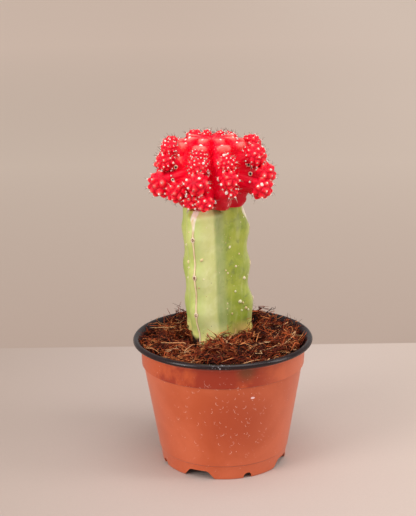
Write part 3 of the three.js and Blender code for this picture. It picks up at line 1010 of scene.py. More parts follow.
# Values from 0 to 1 that the skin's colours follow, at a place on the stem.
def stemMasks(index, share, z):
    off = min(share, 1 - share) * 2  # 0 on a wing's edge, 1 in a valley
    wing = index if share < 0.5 else (index + 1) % 3
    wander = 0.02 * noise.noise(Vector((3.1 + wing, 0, z * 0.12)))
    fromLine = abs(off + wander if share < 0.5 else -off + wander)
    top = smooth(z, stem["top"] - 9, stem["top"])
    nearAreole = min(abs(z - wings[wing]["areole"] - k * stem["areolePitch"]) for k in (0, 1, 2))
    wide = 0.004 + 0.026 * math.exp(-((nearAreole / 1.3) ** 2))
    if wing == 0:
        cork = 1 - smooth(fromLine, wide + 0.008, wide + 0.026)
        scar = 1 - smooth(fromLine, 0.025 + 0.06 * top, 0.04 + 0.07 * top)
        scar *= smooth(z, stem["top"] - 11, stem["top"] - 8)
    elif wing == 1:
        cork = 0.55 * (1 - smooth(fromLine, wide * 0.6, wide + 0.02))
        reach = 0.02 + (0.24 if index == 0 else 0.02) * smooth(z, stem["top"] - 13, stem["top"] - 2)
        scar = (1 - smooth(fromLine, reach, reach + 0.04)) * smooth(z, stem["top"] - 14, stem["top"] - 8)
    else:
        cork, scar = 0.3 * (1 - smooth(fromLine, wide * 0.6, wide + 0.02)), 0
    valley = smooth(off, 0.5, 0.86)
    if index == 0:
        valley = smooth(share, 0.26, 0.35) * (1 - smooth(share, 0.36, 0.6))
    return {
        "valley": valley,
        "edge": 1 - smooth(off, 0.02, 0.3),
        "cork": cork,
        "scar": scar,
        "frontFace": 1 - smooth(share, 0.26, 0.35) if index == 0 else 0,
        "rightFace": [smooth(share, 0.34, 0.6), 1 - smooth(share, 0.3, 0.5), 0][index],
        "leftFace": smooth(share, 0.0, 0.25) if index == 2 else 0,
        # painted shade at the foot of the left face, beside the front wing
        "leftFootShaded": smooth(share, 0.55, 0.85) * (1 - smooth(z, 73, 80)) if index == 2 else 0,
    }


def makeStemSkin():
    material, tree, place = newMaterial("rootstockSkin", stemFinish["shader"])
    colour = stemFinish
    up = axes(tree, place)[2]
    names = ("frontFace", "rightFace", "leftFace", "valley", "edge", "cork", "scar", "leftFootShaded")
    front, right, left, valley, edge, cork, scar, leftFootShaded = (attribute(tree, name) for name in names)
    cloud = effect(tree, mottle, place, 85.0, 0.34, 0.66)
    broad = effect(tree, mottle, place, 34.0, 0.36, 0.64)
    patches = effect(tree, mottle, place, 190.0, 0.5, 0.68)
    streaks = effect(tree, mottle, vectors(tree, "MULTIPLY", place, (1.0, 1.0, 0.22)), 280.0, 0.46, 0.74)

    def clouded(name):
        return mixed(tree, cloud, colour[name], colour[name + "Pale"])

    leftFootShade = times(tree, leftFootShaded, ranged(tree, cloud, 0.0, 1.0, 0.75, 1.25))
    # painted shade: the valleys darker towards the top, under the scion
    valleyShadedTop = over(tree, clouded("valley"), colour["shade"], ranged(tree, up, 0.128, 0.142, 0.0, 0.4))
    base = mixed(tree, right, colour["base"], colour["baseRight"])
    dry = ramped(tree, cork, zip((0.0, 0.45, 0.8, 1.0), (colour[name] for name in colour["corkTones"])))
    skin = layered(tree, mixed(tree, broad, colour["green"], colour["greenPale"]), [
        # each face in its own tone: partly the skin's own colours, partly painted light and shade by how the
        # face meets the light
        (over(tree, clouded("front"), colour["frontEdge"], edge, 0.7), front),
        (clouded("olive"), right),
        (clouded("left"), left),
        (valleyShadedTop, valley, maths(tree, "SUBTRACT", 0.9, left)),
        # the skin's own darker mottle, mostly on the right face
        (colour["shade"], patches, linear(tree, right, 0.5, 0.06)),
        # painted highlight: a pale margin along the wings' edges, strongest on the right, where light shows
        # through the thin edge
        (colour["margin"], edge, linear(tree, right, 0.6, 0.15)),
        # painted light: the front face paler just under the scion, lifting the shade that the scion casts
        # there
        (colour["frontPale"], ranged(tree, up, 0.143, 0.1495, 0.0, 0.6), front),
        (colour["margin"], streaks, 0.32),
        # paler towards the foot: the skin's own pale base, painted lighter still against the coir's shade
        (base, ranged(tree, up, 0.0835, 0.074), ranged(tree, cloud, 0.0, 1.0, 0.5, 1.0)),
        (colour["rust"], near(tree, place, colour["rustAt"], 0.001, 0.007), 0.3),
        (colour["margin"], effect(tree, dots, place, 520.0, 0.14, 0.3), 0.28),
        # painted shade: the left face's foot nearly black-brown, where the coir's hollow shades it
        (colour["leftFootShade"], ranged(tree, leftFootShade, 0.1, 0.75)),
        (colour["bruise"], effect(tree, dots, place, 130.0, 0.055, 0.2), 0.75),
        (colour["bruise"], effect(tree, dots, place, 300.0, 0.07, 0.16), 0.75),
        (over(tree, dry, colour["corkEdge"], streaks, 0.5), ranged(tree, cork, 0.05, 0.4)),
        (mixed(tree, streaks, colour["scar"], colour["cork"]), scar),
    ])
    dried = maths(tree, "MAXIMUM", cork, scar)
    fine = effect(tree, grain, place, 480.0, 0.35)
    ridged = linear(tree, streaks, maths(tree, "ADD", 0.15, dried), fine)
    return finished(material, skin, ranged(tree, dried, 0.0, 1.0, 0.4, 0.8), ridged, 0.14, 0.0004)


def makeStem():
    rings, values = [], []
    for z, places in stemRows():
        ring = []
        for index, share in places:
            masks = stemMasks(index, share, z)
            ridge = stem["corkRidge"] * max(masks["cork"], 0.6 * masks["scar"])
            ring.append(stemPoint(index, share, z, stemUnevenness(index, share, z) + ridge) * mm)
            values.append(masks)
        rings.append(ring)
    verts, faces = ringSkin(rings, stemCentre(stem["bottom"]) * mm, stemCentre(stem["top"]) * mm)
    skin = meshPiece("stemSkin", verts, faces)
    for name in values[0]:
        writeValues(skin.data, name, [0.0, *(masks[name] for masks in values), 0.0])
    dress(skin.data, makeStemSkin())
    smoothShaded(skin.data, 40)
    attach(skin, "root")
    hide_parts("rootstock_stem")
    print("stem made,", len(faces), "faces")


# Knobs that stand on a surface: a small uneven ball on each point, turned outwards.
def makeKnobTree():
    tree, given = geometryTree("knobs", {
        "Flatness": 0.6, "Stretch": 0.2, "Roughness": 0.2, "Grain": 900.0, "Seed": 1,
    })
    ball = step(tree, "GeometryNodeMeshUVSphere", {"Segments": 8, "Rings": 6, "Radius": 1.0})
    shape = vectorOf(tree, 1.0, 1.0, given["Flatness"])
    squashed = step(tree, "GeometryNodeTransform", {"Geometry": ball, "Scale": shape})
    thin, wide = (maths(tree, way, 1.0, given["Stretch"]) for way in ("SUBTRACT", "ADD"))
    extremes = (vectorOf(tree, size, size, size) for size in (thin, wide))
    uneven = randomVector(tree, *extremes, given["Seed"])
    knobs = planted(tree, given, squashed, 0.3, scaled(tree, uneven, named(tree, "size", "FLOAT")))
    real = step(tree, "GeometryNodeRealizeInstances", {"Geometry": knobs})
    waver = wavering(tree, given["Grain"], times(tree, given["Roughness"], 0.002))
    return closeTree(tree, moved(tree, real, waver), given)


knobTree = makeKnobTree()

warts = {
    "placed": [  # section between two wings, share of the way to the next wing, height, radius
        (0, 0.64, 127, 1.15), (0, 0.74, 115, 1.0), (0, 0.86, 107, 1.15), (0, 0.72, 100, 0.8),
        (0, 0.78, 93.5, 1.25), (0, 0.81, 92.5, 0.75), (0, 0.84, 89, 1.0), (0, 0.79, 88, 0.75),
        (0, 0.87, 87.5, 0.75), (0, 0.53, 94, 0.6), (0, 0.51, 91, 0.6), (0, 0.64, 87, 0.75),
        (0, 0.51, 114, 0.75), (0, 0.56, 112, 0.65), (0, 0.08, 123, 1.2), (0, 0.1, 112, 0.55),
        (0, 0.04, 107, 0.55), (2, 0.88, 121, 1.0), (2, 0.9, 118, 0.9), (2, 0.87, 112, 0.7),
        (2, 0.86, 131, 0.85), (2, 0.94, 139, 0.6), (0, 0.8, 122, 0.6), (0, 0.88, 143, 0.65),
        (0, 0.92, 108, 0.6),
    ],
    "scattered": 110,
    "heights": (76, 146),
    "radii": (0.15, 0.42),
    "seed": 21,
    "sunk": 0.3,  # share of the radius
    "look": {
        "name": "wartCork",
        "shader": {"Roughness": 0.6},
        "tones": [
            (0.0, (196, 162, 110)), (0.35, (234, 212, 158)), (0.8, (244, 232, 196)), (1.0, (226, 228, 176)),
        ],
        "patches": (1500.0, 0.5, 0.7),
        "patchColour": (165, 120, 78),
        "patchShare": 0.45,
        "grain": (1800.0, 0.5),
        "relief": (0.3, 0.0002),
    },
}


def wartPlaces():
    draw = seededRandom(warts["seed"])
    places = list(warts["placed"])
    while len(places) < len(warts["placed"]) + warts["scattered"]:
        index = int(draw() * 3)
        share, z = lerp(0.05, 0.95, draw()), lerp(*warts["heights"], draw())
        places.append((index, share, z, lerp(*warts["radii"], draw() ** 2)))
    return places


def makeWarts():
    places = []
    for index, share, z, radius in wartPlaces():
        point = stemPoint(index, share, z, -warts["sunk"] * radius)
        places.append((point, heading(stemAzimuth(index, share, z)), radius))
    made = growOn("stemWarts", places, knobTree, {
        "Flatness": 0.8, "Stretch": 0.3, "Roughness": 0.12, "Seed": 3,
        "Material": tonedMaterial(warts["look"]),
    })
    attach(made, "root")
    print("warts made,", len(places))


# ---- areoles on the stem: dry buttons with a dark middle ----
areole = {
    "radius": 1.15,
    "flatness": 0.5,
    "stretch": 1.5,
    "between": (76, 140),  # heights
    "ring": (206, 176, 142),
    "ringPale": (244, 226, 200),
    "middle": (128, 86, 62),
    "middleHigh": (34, 16, 12),  # on the scion
}


def makeAreoleMaterial():
    material, tree, place = newMaterial("areoleCork", {"Roughness": 0.8})
    cloud = effect(tree, mottle, place, 900.0, 0.35, 0.65)
    ring = mixed(tree, cloud, areole["ring"], areole["ringPale"])
    isHigh = ranged(tree, axes(tree, place)[2], 0.148, 0.15)
    middle = mixed(tree, isHigh, areole["middle"], areole["middleHigh"])
    body = over(tree, ring, middle, ranged(tree, attribute(tree, "core"), 0.35, 0.55))
    return finished(material, body, None, effect(tree, grain, place, 1500.0, 0.4), 0.4, 0.0003)


# A round button, hollow in the middle. The core value is 1 in its middle and 0 at its edge.
def buttonShape(centre, outwards, radius, stretch, flatness, around=20, rings=8):
    side = upBy(1).cross(outwards).normalized()
    upright = outwards.cross(side)
    rows, cores = [], []
    for ring in range(rings - 1, 0, -1):
        polar = math.pi * ring / rings
        level = radius * flatness * (math.cos(polar) - 0.55 * math.exp(-((polar / 0.55) ** 2)))
        row = []
        for i in range(around):
            turn = 2 * math.pi * i / around
            out = radius * math.sin(polar) * (1 + 0.06 * math.sin(5 * turn))
            flat = side * out * math.cos(turn) + upright * out * stretch * math.sin(turn)
            row.append(centre + flat + outwards * level)
        rows.append(row)
        cores += [math.exp(-((polar / 0.62) ** 2))] * around
    bottom, top = (centre + outwards * radius * flatness * share for share in (-1, 0.45))
    return *ringSkin(rows, bottom, top), [0.0, *cores, 1.0]


def buttonsPiece(name, shapes, material):
    verts, faces = merged(shapes)
    piece = meshPiece(name, [v * mm for v in verts], faces)
    writeValues(piece.data, "core", [core for shape in shapes for core in shape[2]])
    facesOutwards(piece.data)
    smoothShaded(piece.data, 60)
    dress(piece.data, material)
    return piece


def makeStemAreoles(material):
    shapes = []
    lowest, highest = areole["between"]
    for index, wing in enumerate(wings):
        for z in (wing["areole"] + place * stem["areolePitch"] for place in (-1, 0, 1, 2)):
            if lowest < z < highest:
                outwards = heading(stemAzimuth(index, 0, z))
                sizes = areole["radius"], areole["stretch"], areole["flatness"]
                shapes.append(buttonShape(stemPoint(index, 0, z), outwards, *sizes))
    made = buttonsPiece("stemAreoles", shapes, material)
    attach(made, "root")
    print("stem areoles made,", len(shapes))


# ---- scion ----
scion = {
    "centre": Vector((-5.2, 8, 170)),
    "radius": 23.0,
    "above": 20.6,
    "below": 23.5,
    "ribs": 8,
    "around": 256,
    "rows": 110,
    "groove": 0.27,
    "crownGroove": 0.36,  # the grooves are deeper near the crown
    "fullness": 0.62,
    "crownDepth": 3.0,
    "lobe": 2.0,  # height of the swellings beside the areoles
    "fold": 1.15,  # height of the folds across the grooves
    "dimple": 1.5,  # depth and reach of the hollow under each areole
    "dimpleReach": 0.11,
    "areolePolar": 37,  # degrees from the top to a rib's highest areole in sight
    "areolePitch": 27,
    "underside": 150.35,
    "unevenness": 0.25,
}
pups = {
    "large": {"around": 12, "rows": 5},
    "small": {"around": 10, "rows": 5},
    "young": {"count": 56},
    "largeFrom": 6.2,
    "youngFrom": 5.5,  # height over the mother's centre from which the tubercles stand close together
    "reach": 1.04,  # share of an offset's radius that its tips reach
    "crease": 0.25,  # how far the creases lie below that
    "jitter": 0.11,
    "detail": 5,
}
fleshFinish = {
    "shader": {
        "Specular IOR Level": 0.2, "Subsurface Weight": 0.08, "Subsurface Radius": (0.005, 0.001, 0.0006),
        "Subsurface Scale": 0.4,
    },
    # painted shade in the creases between the offsets' tubercles
    "crease": (172, 0, 26),
    "deep": (252, 0, 44),
    "deepPale": (255, 0, 52),
    # painted light on the raised parts, and a painted highlight on the crests
    "bright": (255, 32, 46),
    "crestHighlight": (255, 148, 134),
    # painted shade on the lower part of the mother
    "dark": (186, 12, 34),
    "scab": (196, 60, 66),
    "torn": (246, 190, 178),
    "scabAt": (0.0065, -0.0085, 0.1555),
    "pore": (255, 130, 112),
}
# Azimuth, distance, height over the mother's centre and radius. They sit a little closer than the solids.
seenOffsets = [
    (-22, 18.6, 11.2, 4.3), (-21, 21.8, 5.6, 5.6), (-19, 25.0, -2.8, 7.1), (-10, 22.8, -13.8, 5.4),
    (-31, 22.4, -13.4, 5.0), (24, 21.2, 7.4, 4.9), (23, 23.6, -1.2, 5.8), (29, 22.2, -8.6, 3.8),
    (-68, 25.4, 14.4, 4.9), (-68, 27.2, 7.6, 5.8), (-67, 30.6, -5.0, 8.0), (-49, 26.0, -8.8, 6.3),
    (66, 26.2, 10.2, 6.8), (70, 31.2, -0.2, 6.8), (64, 30.2, -7.4, 7.1), (195, 9.5, 18.8, 3.1),
    (150, 10.5, 18.4, 3.0), (122, 13.5, 16.6, 3.6),
]


def backOffsets(seed):
    draw = seededRandom(seed)
    onOneRib = [(24.5, 12.5, 6.0), (28.0, 1.5, 7.2), (26.5, -9.0, 6.6)]
    return [
        tuple(middle + spread * (draw() - 0.5) for middle, spread in zip((azimuth, *place), (12, 3, 3, 1.4)))
        for azimuth in (112.5, 157.5, 202.5, 247.5)
        for place in onOneRib
    ]


def offsetFrom(index, azimuth, distance, height, radius):
    axis = (heading(azimuth) * distance + upBy(height * 0.9 + 9)).normalized()
    lean = upBy(1).rotation_difference(axis)
    roll = Matrix.Rotation(index * 0.7, 4, "Z")
    centre = scion["centre"] + heading(azimuth) * distance + upBy(height)
    young = height > pups["youngFrom"]
    form = pups["young" if young else "large" if radius > pups["largeFrom"] else "small"]
    return {
        "centre": centre,
        "radius": radius,
        "matrix": Matrix.Translation(centre) @ lean.to_matrix().to_4x4() @ roll,
        "young": young,
        "tips": tubercleDirections(form, index),
    }


# Place on the mother, from its centre, for an angle from the top and an azimuth, and how raised it is.
def motherPlace(polar, azimuth):
    top, radius = math.radians(polar), scion["radius"]
    sharp = abs(math.cos(math.radians(scion["ribs"] / 2 * (azimuth - 180 / scion["ribs"]))))
    sharp = math.sqrt((sharp * sharp + 0.04) / 1.04)
    crest = sharp * sharp / (sharp + 0.16) * 1.16
    groove = lerp(scion["crownGroove"], scion["groove"], smooth(polar, 22, 60))
    out = radius * math.sin(top) ** scion["fullness"] * (1 - groove * (1 - crest))
    up = abs(math.cos(top)) ** scion["fullness"]
    crown = scion["crownDepth"] * math.exp(-((out / (0.35 * radius)) ** 2))
    height = scion["above"] * up - crown if polar < 90 else -scion["below"] * up
    span = 360 / scion["ribs"]
    across = ((azimuth / span) % 1 - 0.5) * 2  # -1 and 1 in the grooves, 0 on a rib's crest
    phase = (polar - scion["areolePolar"]) / scion["areolePitch"]
    inSight = smooth(polar, 12, 30) * (1 - smooth(polar, 100, 130))
    lobe = 0.5 - 0.5 * math.cos(2 * math.pi * (phase - 0.3 * abs(across) + 0.15))
    fold = 1 - 2 * abs(math.sin(2 * math.pi * (phase + 0.2 * math.sin(azimuth)))) ** 0.7
    beyond = phase - round(phase)
    hollow = math.exp(-((across / 0.3) ** 2) - (beyond / scion["dimpleReach"]) ** 2)
    swell = scion["lobe"] * (lobe - 0.6) * (1 - across**4) + scion["fold"] * fold * abs(across) ** 1.6
    swell = (swell - scion["dimple"] * hollow) * inSight
    direction = (heading(azimuth) * math.sin(top) + upBy(math.cos(top))).normalized()
    point = heading(azimuth) * out + upBy(height) + direction * swell
    lift = crest * (0.4 + 0.6 * lobe) + (0.6 if fold > 0 else 0.35) * fold * abs(across) ** 1.6
    return point, lift


def motherShape():
    rings, lifts = [], []
    for row in range(scion["rows"] - 1, 0, -1):
        ring = []
        for i in range(scion["around"]):
            point, lift = motherPlace(180 * row / scion["rows"], i * 360 / scion["around"])
            point = point + scion["centre"]
            bump = scion["unevenness"] * noise.fractal(point * 0.2, 1.0, 2.0, 3)
            point += (point - scion["centre"]).normalized() * bump
            ring.append(point * mm)
            # painted light by height: the raised parts count less low on the mother, so they are painted less
            # bright there
            lifts.append(lift * lerp(0.25, 1, smooth(point.z, 160, 184)))
        rings.append(ring)
    low, high = (scion["centre"] + upBy(z) for z in (-scion["below"], scion["above"] - scion["crownDepth"]))
    return *ringSkin(rings, low * mm, high * mm), [0.0, *lifts, 0.3]


# Directions of an offset's tubercles: in a spiral that is closest at its growing tip, or in staggered rows.
def tubercleDirections(form, number):
    draw = seededRandom(100 + number)
    found = []
    if "count" in form:
        count = form["count"]
        angles = [(math.pi * 0.93 * ((i + 0.4) / count) ** 0.6, i * 137.5) for i in range(count)]
    else:
        angles = [
            (math.pi * row / form["rows"], i * 360 / form["around"])
            for row in range(1, form["rows"]) for i in range(form["around"]) if (i + row) % 2 == 0
        ]
    for polar, azimuth in angles:
        plain = heading(azimuth) * math.sin(polar) + upBy(math.cos(polar))
        found.append((plain + strayVector(draw) * 2 * pups["jitter"]).normalized())
    return np.array(found)


# An offset's surface: each tubercle rises to a blunt point, with a crease round it.
def offsetShape(offset, ball):
    angles = np.arccos(np.clip(ball @ offset["tips"].T, -1, 1))
    nearest = np.sort(angles, axis=1)[:, :2]
    rise = np.clip((nearest[:, 1] - nearest[:, 0]) / (nearest[:, 1] + nearest[:, 0] + 1e-6), 0, 1)
    dome = 1 - (1 - rise) ** (1.7 if offset["young"] else 1.35)
    crease = pups["crease"] * (0.75 if offset["young"] else 1)
    local = ball * (offset["radius"] * (pups["reach"] - crease + crease * dome))[:, None]
    matrix = np.array(offset["matrix"])
    return local @ matrix[:3, :3].T + matrix[:3, 3], rise


offsets = [offsetFrom(index, *values) for index, values in enumerate(seenOffsets + backOffsets(11))]


def armShape(offset):
    inwards = scion["centre"] - offset["centre"]
    length = inwards.length - scion["radius"] * 0.6
    turn = inwards.to_track_quat("Z", "Y").to_matrix()
    rings = []
    for end, share in ((0, 0.75), (length, 0.85)):
        ring = [turn @ (p * share * offset["radius"]) for p in unitCircle]
        rings.append([(point + offset["centre"] + inwards.normalized() * end) * mm for point in ring])
    tip = offset["centre"] + inwards.normalized() * length
    return ringSkin(rings, offset["centre"] * mm, tip * mm)


def makeFlesh():
    material, tree, place = newMaterial("scionFlesh", fleshFinish["shader"])
    colour = fleshFinish
    lift, tone, mother = (attribute(tree, name) for name in ("lift", "tone", "mother"))
    cloud = effect(tree, mottle, place, 110.0, 0.35, 0.65)
    raised = ranged(tree, lift, linear(tree, mother, 0.05, 0.15), 0.75)
    crest = ranged(tree, lift, linear(tree, mother, -0.1, 0.4), linear(tree, mother, -0.1, 0.95))
    scab = near(tree, place, colour["scabAt"], 0.0025, 0.0065)
    torn = effect(tree, mottle, vectors(tree, "MULTIPLY", place, (1.0, 1.0, 0.3)), 420.0, 0.6, 0.66)
    skin = layered(tree, mixed(tree, cloud, colour["deep"], colour["deepPale"]), [
        # painted light and highlight: the raised parts lighter and the crests pale pink
        (colour["bright"], raised),
        (colour["crestHighlight"], crest, ranged(tree, cloud, 0.0, 1.0, 0.55, 1.0)),
        # painted shade: the offsets darker in their creases
        (colour["crease"], ranged(tree, lift, 0.35, 0.0, 0.0, 0.55), maths(tree, "SUBTRACT", 1.0, mother)),
        (colour["deep"], tone, 0.4),
        # painted shade: the mother darker towards the bottom
        (colour["dark"], ranged(tree, axes(tree, place)[2], 0.168, 0.153), mother, 0.6),
        (colour["scab"], scab, 0.5),
        (colour["torn"], torn, scab, 0.8),
        (colour["pore"], effect(tree, mottle, place, 700.0, 0.55, 0.75), 0.14),
        (colour["pore"], effect(tree, dots, place, 800.0, 0.2, 0.35), 0.12),
    ])
    fine = effect(tree, grain, place, 620.0, 0.4)
    return finished(material, skin, linear(tree, cloud, 0.14, 0.32), fine, 0.12, 0.0003)


def grownFlesh():
    verts, faces, lifts = motherShape()
    flesh = meshPiece("scionFlesh", verts, faces)
    gathered = bpy.data.collections.new("offsets")
    shape = bmesh.new()
    bmesh.ops.create_icosphere(shape, subdivisions=pups["detail"], radius=1)
    ball = np.array([v.co.normalized()[:] for v in shape.verts])
    ballFaces = [tuple(v.index for v in face.verts) for face in shape.faces]
    shape.free()
    clouds = [(np.array(verts), np.array(lifts), 0.5, 1.0)]
    for number, offset in enumerate(offsets):
        points, rise = offsetShape(offset, ball)
        made = [meshPiece(f"offset{number}", points * mm, ballFaces)]
        # painted shade: the tubercles darker on the offsets' undersides, towards the mother, where shade
        # falls between them
        shadedRise = rise * np.clip((ball[:, 2] + 0.6) / 0.75, 0.1, 1)  # darker below, towards the mother
        clouds.append((points * mm, shadedRise, smooth(offset["centre"].z, 180, 188), 0.0))
        if (offset["centre"] - scion["centre"]).length - offset["radius"] > scion["radius"] * 0.9:
            made.append(meshPiece(f"arm{number}", *armShape(offset)))
        for item in made:
            bpy.context.scene.collection.objects.unlink(item)
            gathered.objects.link(item)
    bpy.context.scene.collection.children.link(gathered)
    joinWith(flesh, gathered, "UNION")
    bpy.data.collections.remove(gathered)
    square = [(-100, -100), (100, -100), (100, 100), (-100, 100)]
    levels = scion["underside"] - 40, scion["underside"]
    block = prism(*([Vector((x, y, z)) * mm for x, y in square] for z in levels))
    joinWith(flesh, meshPiece("block", *block), "DIFFERENCE")
    return flesh, clouds


# Gives the joined flesh the values of the nearest point of what it was joined from.
def copyValues(mesh, clouds):
    points = np.concatenate([cloud[0] for cloud in clouds])
    table = [(lift, tone, mother) for _, lifts, tone, mother in clouds for lift in lifts]
    tree = KDTree(len(points))
    for number, point in enumerate(points):
        tree.insert(point, number)
    tree.balance()
    found = np.array([table[tree.find(vertex.co)[1]] for vertex in mesh.vertices])
    for column, name in enumerate(("lift", "tone", "mother")):
        writeValues(mesh, name, found[:, column])


def makeScion():
    flesh, clouds = grownFlesh()
    mesh = flesh.data
    copyValues(mesh, clouds)
    dress(mesh, makeFlesh())
    for face in mesh.polygons:
        face.material_index = 0
    smoothShaded(mesh, 55)
    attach(flesh, "root")
    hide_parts("moon_scion")
    print("scion made,", len(mesh.polygons), "faces")
    return flesh


# ---- wool and bristles on the scion ----
wool = {
    "radius": (0.32, 0.66),
    "youngRadius": (0.28, 0.5),
    "motherRadius": 1.15,
    "bare": 0.22,  # share of the tubercles without wool
    "tipGap": 0.35,  # how far the surface may be from a tip or an areole that is in the open
    "ribGap": 0.6,
    "tufts": [  # x and z seen from the front, and radius, of the thickest
        (1.8, 181.9, 1.2), (3.6, 182.6, 0.8), (2.7, 161.7, 1.0), (-3.7, 155.5, 1.15), (-19.4, 159.8, 0.9),
        (-1.6, 168.7, 0.9), (15.8, 166.2, 0.8), (-7.0, 172.2, 0.75), (-1.8, 177.9, 0.7), (22.3, 165.2, 0.85),
        (-23.5, 180.9, 0.8), (-33.2, 172.6, 0.8), (-9.9, 178.4, 0.75),
    ],
    "seed": 31,
    "look": {
        "name": "areoleWool",
        "shader": {"Roughness": 0.95, "Sheen Weight": 0.3},
        "tones": [
            (0.0, (248, 232, 214)), (0.3, (255, 248, 238)), (0.9, (255, 252, 246)), (1.0, (246, 228, 206)),
        ],
        "patches": (2600.0, 0.4, 0.7),
        "patchColour": (222, 190, 170),
        "patchShare": 0.16,
        "relief": (0.4, 0.0003),
    },
}
bristle = {
    "length": (1.5, 3.0),
    "perAreole": (1, 3),
    "thickness": 0.055,  # share of the length
    "bend": 0.18,
    "spread": 0.75,
    "shortest": 0.6,
    "leastOutwards": 0.25,
    "belowTop": 0.3,  # how far the highest tips stay under the model's top
    "sunk": 0.3,
    "seed": 37,
    "look": {
        "name": "bristleHorn",
        "shader": {"Roughness": 0.45},
        "tones": [
            (0.0, (74, 58, 52)), (0.45, (132, 108, 94)), (0.8, (206, 184, 164)), (1.0, (236, 220, 204)),
        ],
        "patches": (1800.0, 0.4, 0.7),
        "patchColour": (96, 74, 62),
        "patchShare": 0.35,
    },
}


def surfaceOf(piece):
    return BVHTree.FromObject(piece, bpy.context.evaluated_depsgraph_get())


# Where a ray from the front meets a surface at x and z in mm, and the surface's direction there.
def seenAt(surface, x, z):
    hit, normal, _, _ = surface.ray_cast(Vector((x * mm, -0.2, z * mm)), Vector((0, 1, 0)))
    return hit, normal


# Tips of the tubercles that are in the open, each with its direction and how large its wool is, the highest
# areoles of the mother's ribs, and the thick tufts.
def openAreoles(flesh):
    surface = surfaceOf(flesh)
    draw = seededRandom(wool["seed"])
    found = []
    for offset in offsets:
        for direction in offset["tips"]:
            tip = offset["matrix"] @ (Vector(direction) * offset["radius"] * pups["reach"])
            outwards = (tip - offset["centre"]).normalized()
            size = lerp(*wool["youngRadius" if offset["young"] else "radius"], draw())
            hit, normal, _, away = surface.find_nearest(tip * mm)
            isBare = draw() < wool["bare"]
            if away < wool["tipGap"] * mm and tip.z > scion["underside"] + 1:
                found.append((hit / mm, (outwards + normal).normalized(), 0 if isBare else size))
    for rib in range(scion["ribs"]):
        for place, share in ((-0.5, 0.6), (0, 1.0), (1, 0.75), (2, 0.6)):
            polar = scion["areolePolar"] + place * scion["areolePitch"]
            point = motherPlace(polar, (rib + 0.5) * 360 / scion["ribs"])[0] + scion["centre"]
            hit, normal, _, away = surface.find_nearest(point * mm)
            size = wool["motherRadius"] * share * lerp(0.85, 1.1, draw())
            if away < wool["ribGap"] * mm:
                found.append((hit / mm, normal, size))
    for x, z, size in wool["tufts"]:
        hit, normal = seenAt(surface, x, z)
        found.append((hit / mm, normal, size))
    return found


def makeWool(areoles):
    tufts = [(place + outwards * size * 0.1, outwards, size) for place, outwards, size in areoles if size]
    made = growOn("areoleWool", tufts, knobTree, {
        "Flatness": 0.8, "Stretch": 0.35, "Roughness": 0.2, "Grain": 1400.0, "Seed": 9,
        "Material": tonedMaterial(wool["look"]),
    })
    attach(made, "root")
    print("wool made,", len(tufts), "tufts")


# A slim, slightly bent cone on each point, as long as the point's size.
def makeBristleTree():
    tree, given = geometryTree("bristles", {"Thickness": 0.05, "Bend": 0.2, "Seed": 1})
    line = steppedLine(tree, (0, 0, 0), (0, 0, 1), 5)
    along = step(tree, "GeometryNodeSplineParameter")
    bow = times(tree, given["Bend"], maths(tree, "POWER", along, 2.0))
    taper = times(tree, given["Thickness"], ranged(tree, along, 0.0, 1.0, 1.0, 0.12, "LINEAR"))
    cone = swept(tree, moved(tree, line, vectorOf(tree, bow)), 4, taper)
    return closeTree(tree, planted(tree, given, cone, 0, named(tree, "size", "FLOAT")), given)


def makeBristles(areoles):
    draw = seededRandom(bristle["seed"])
    ceiling = cadBox[1].z / mm - bristle["belowTop"]
    places = []
    for place, outwards, _ in areoles:
        for _ in range(round(lerp(*bristle["perAreole"], draw()))):
            stray = strayVector(draw).normalized() * bristle["spread"]
            direction = (outwards + stray).normalized()
            length = lerp(*bristle["length"], draw())
            if direction.z > 0:
                length = min(length, (ceiling - place.z) / direction.z)
            if length < bristle["shortest"] or direction.dot(outwards) < bristle["leastOutwards"]:
                continue
            places.append((place - direction * bristle["sunk"], direction, length + bristle["sunk"]))
    made = growOn("scionBristles", places, makeBristleTree(), {
        "Thickness": bristle["thickness"], "Bend": bristle["bend"], "Seed": 13,
        "Material": tonedMaterial(bristle["look"]),
    })
    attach(made, "root")
    print("bristles made,", len(places))


# Old areoles in the grooves beside the side ribs, with an open dark middle.
scars = {
    # x, z and radius
    "places": [(-25.2, 174.6, 1.15), (15.2, 175.6, 1.1), (16.2, 170.4, 1.25), (-27.0, 168.0, 0.9)],
    "stretch": 1.1,
    "flatness": 0.5,
    "proud": 0.2,
}


def makeScionScars(flesh, material):
    surface = surfaceOf(flesh)
    shapes = []
    for x, z, radius in scars["places"]:
        hit, normal = seenAt(surface, x, z)
        outwards = (normal + Vector((0, -2.5, 0.3))).normalized()
        centre = hit / mm + outwards * scars["proud"]
        shapes.append(buttonShape(centre, outwards, radius, scars["stretch"], scars["flatness"]))
    made = buttonsPiece("scionScars", shapes, material)
    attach(made, "root")
    print("scars made,", len(shapes))


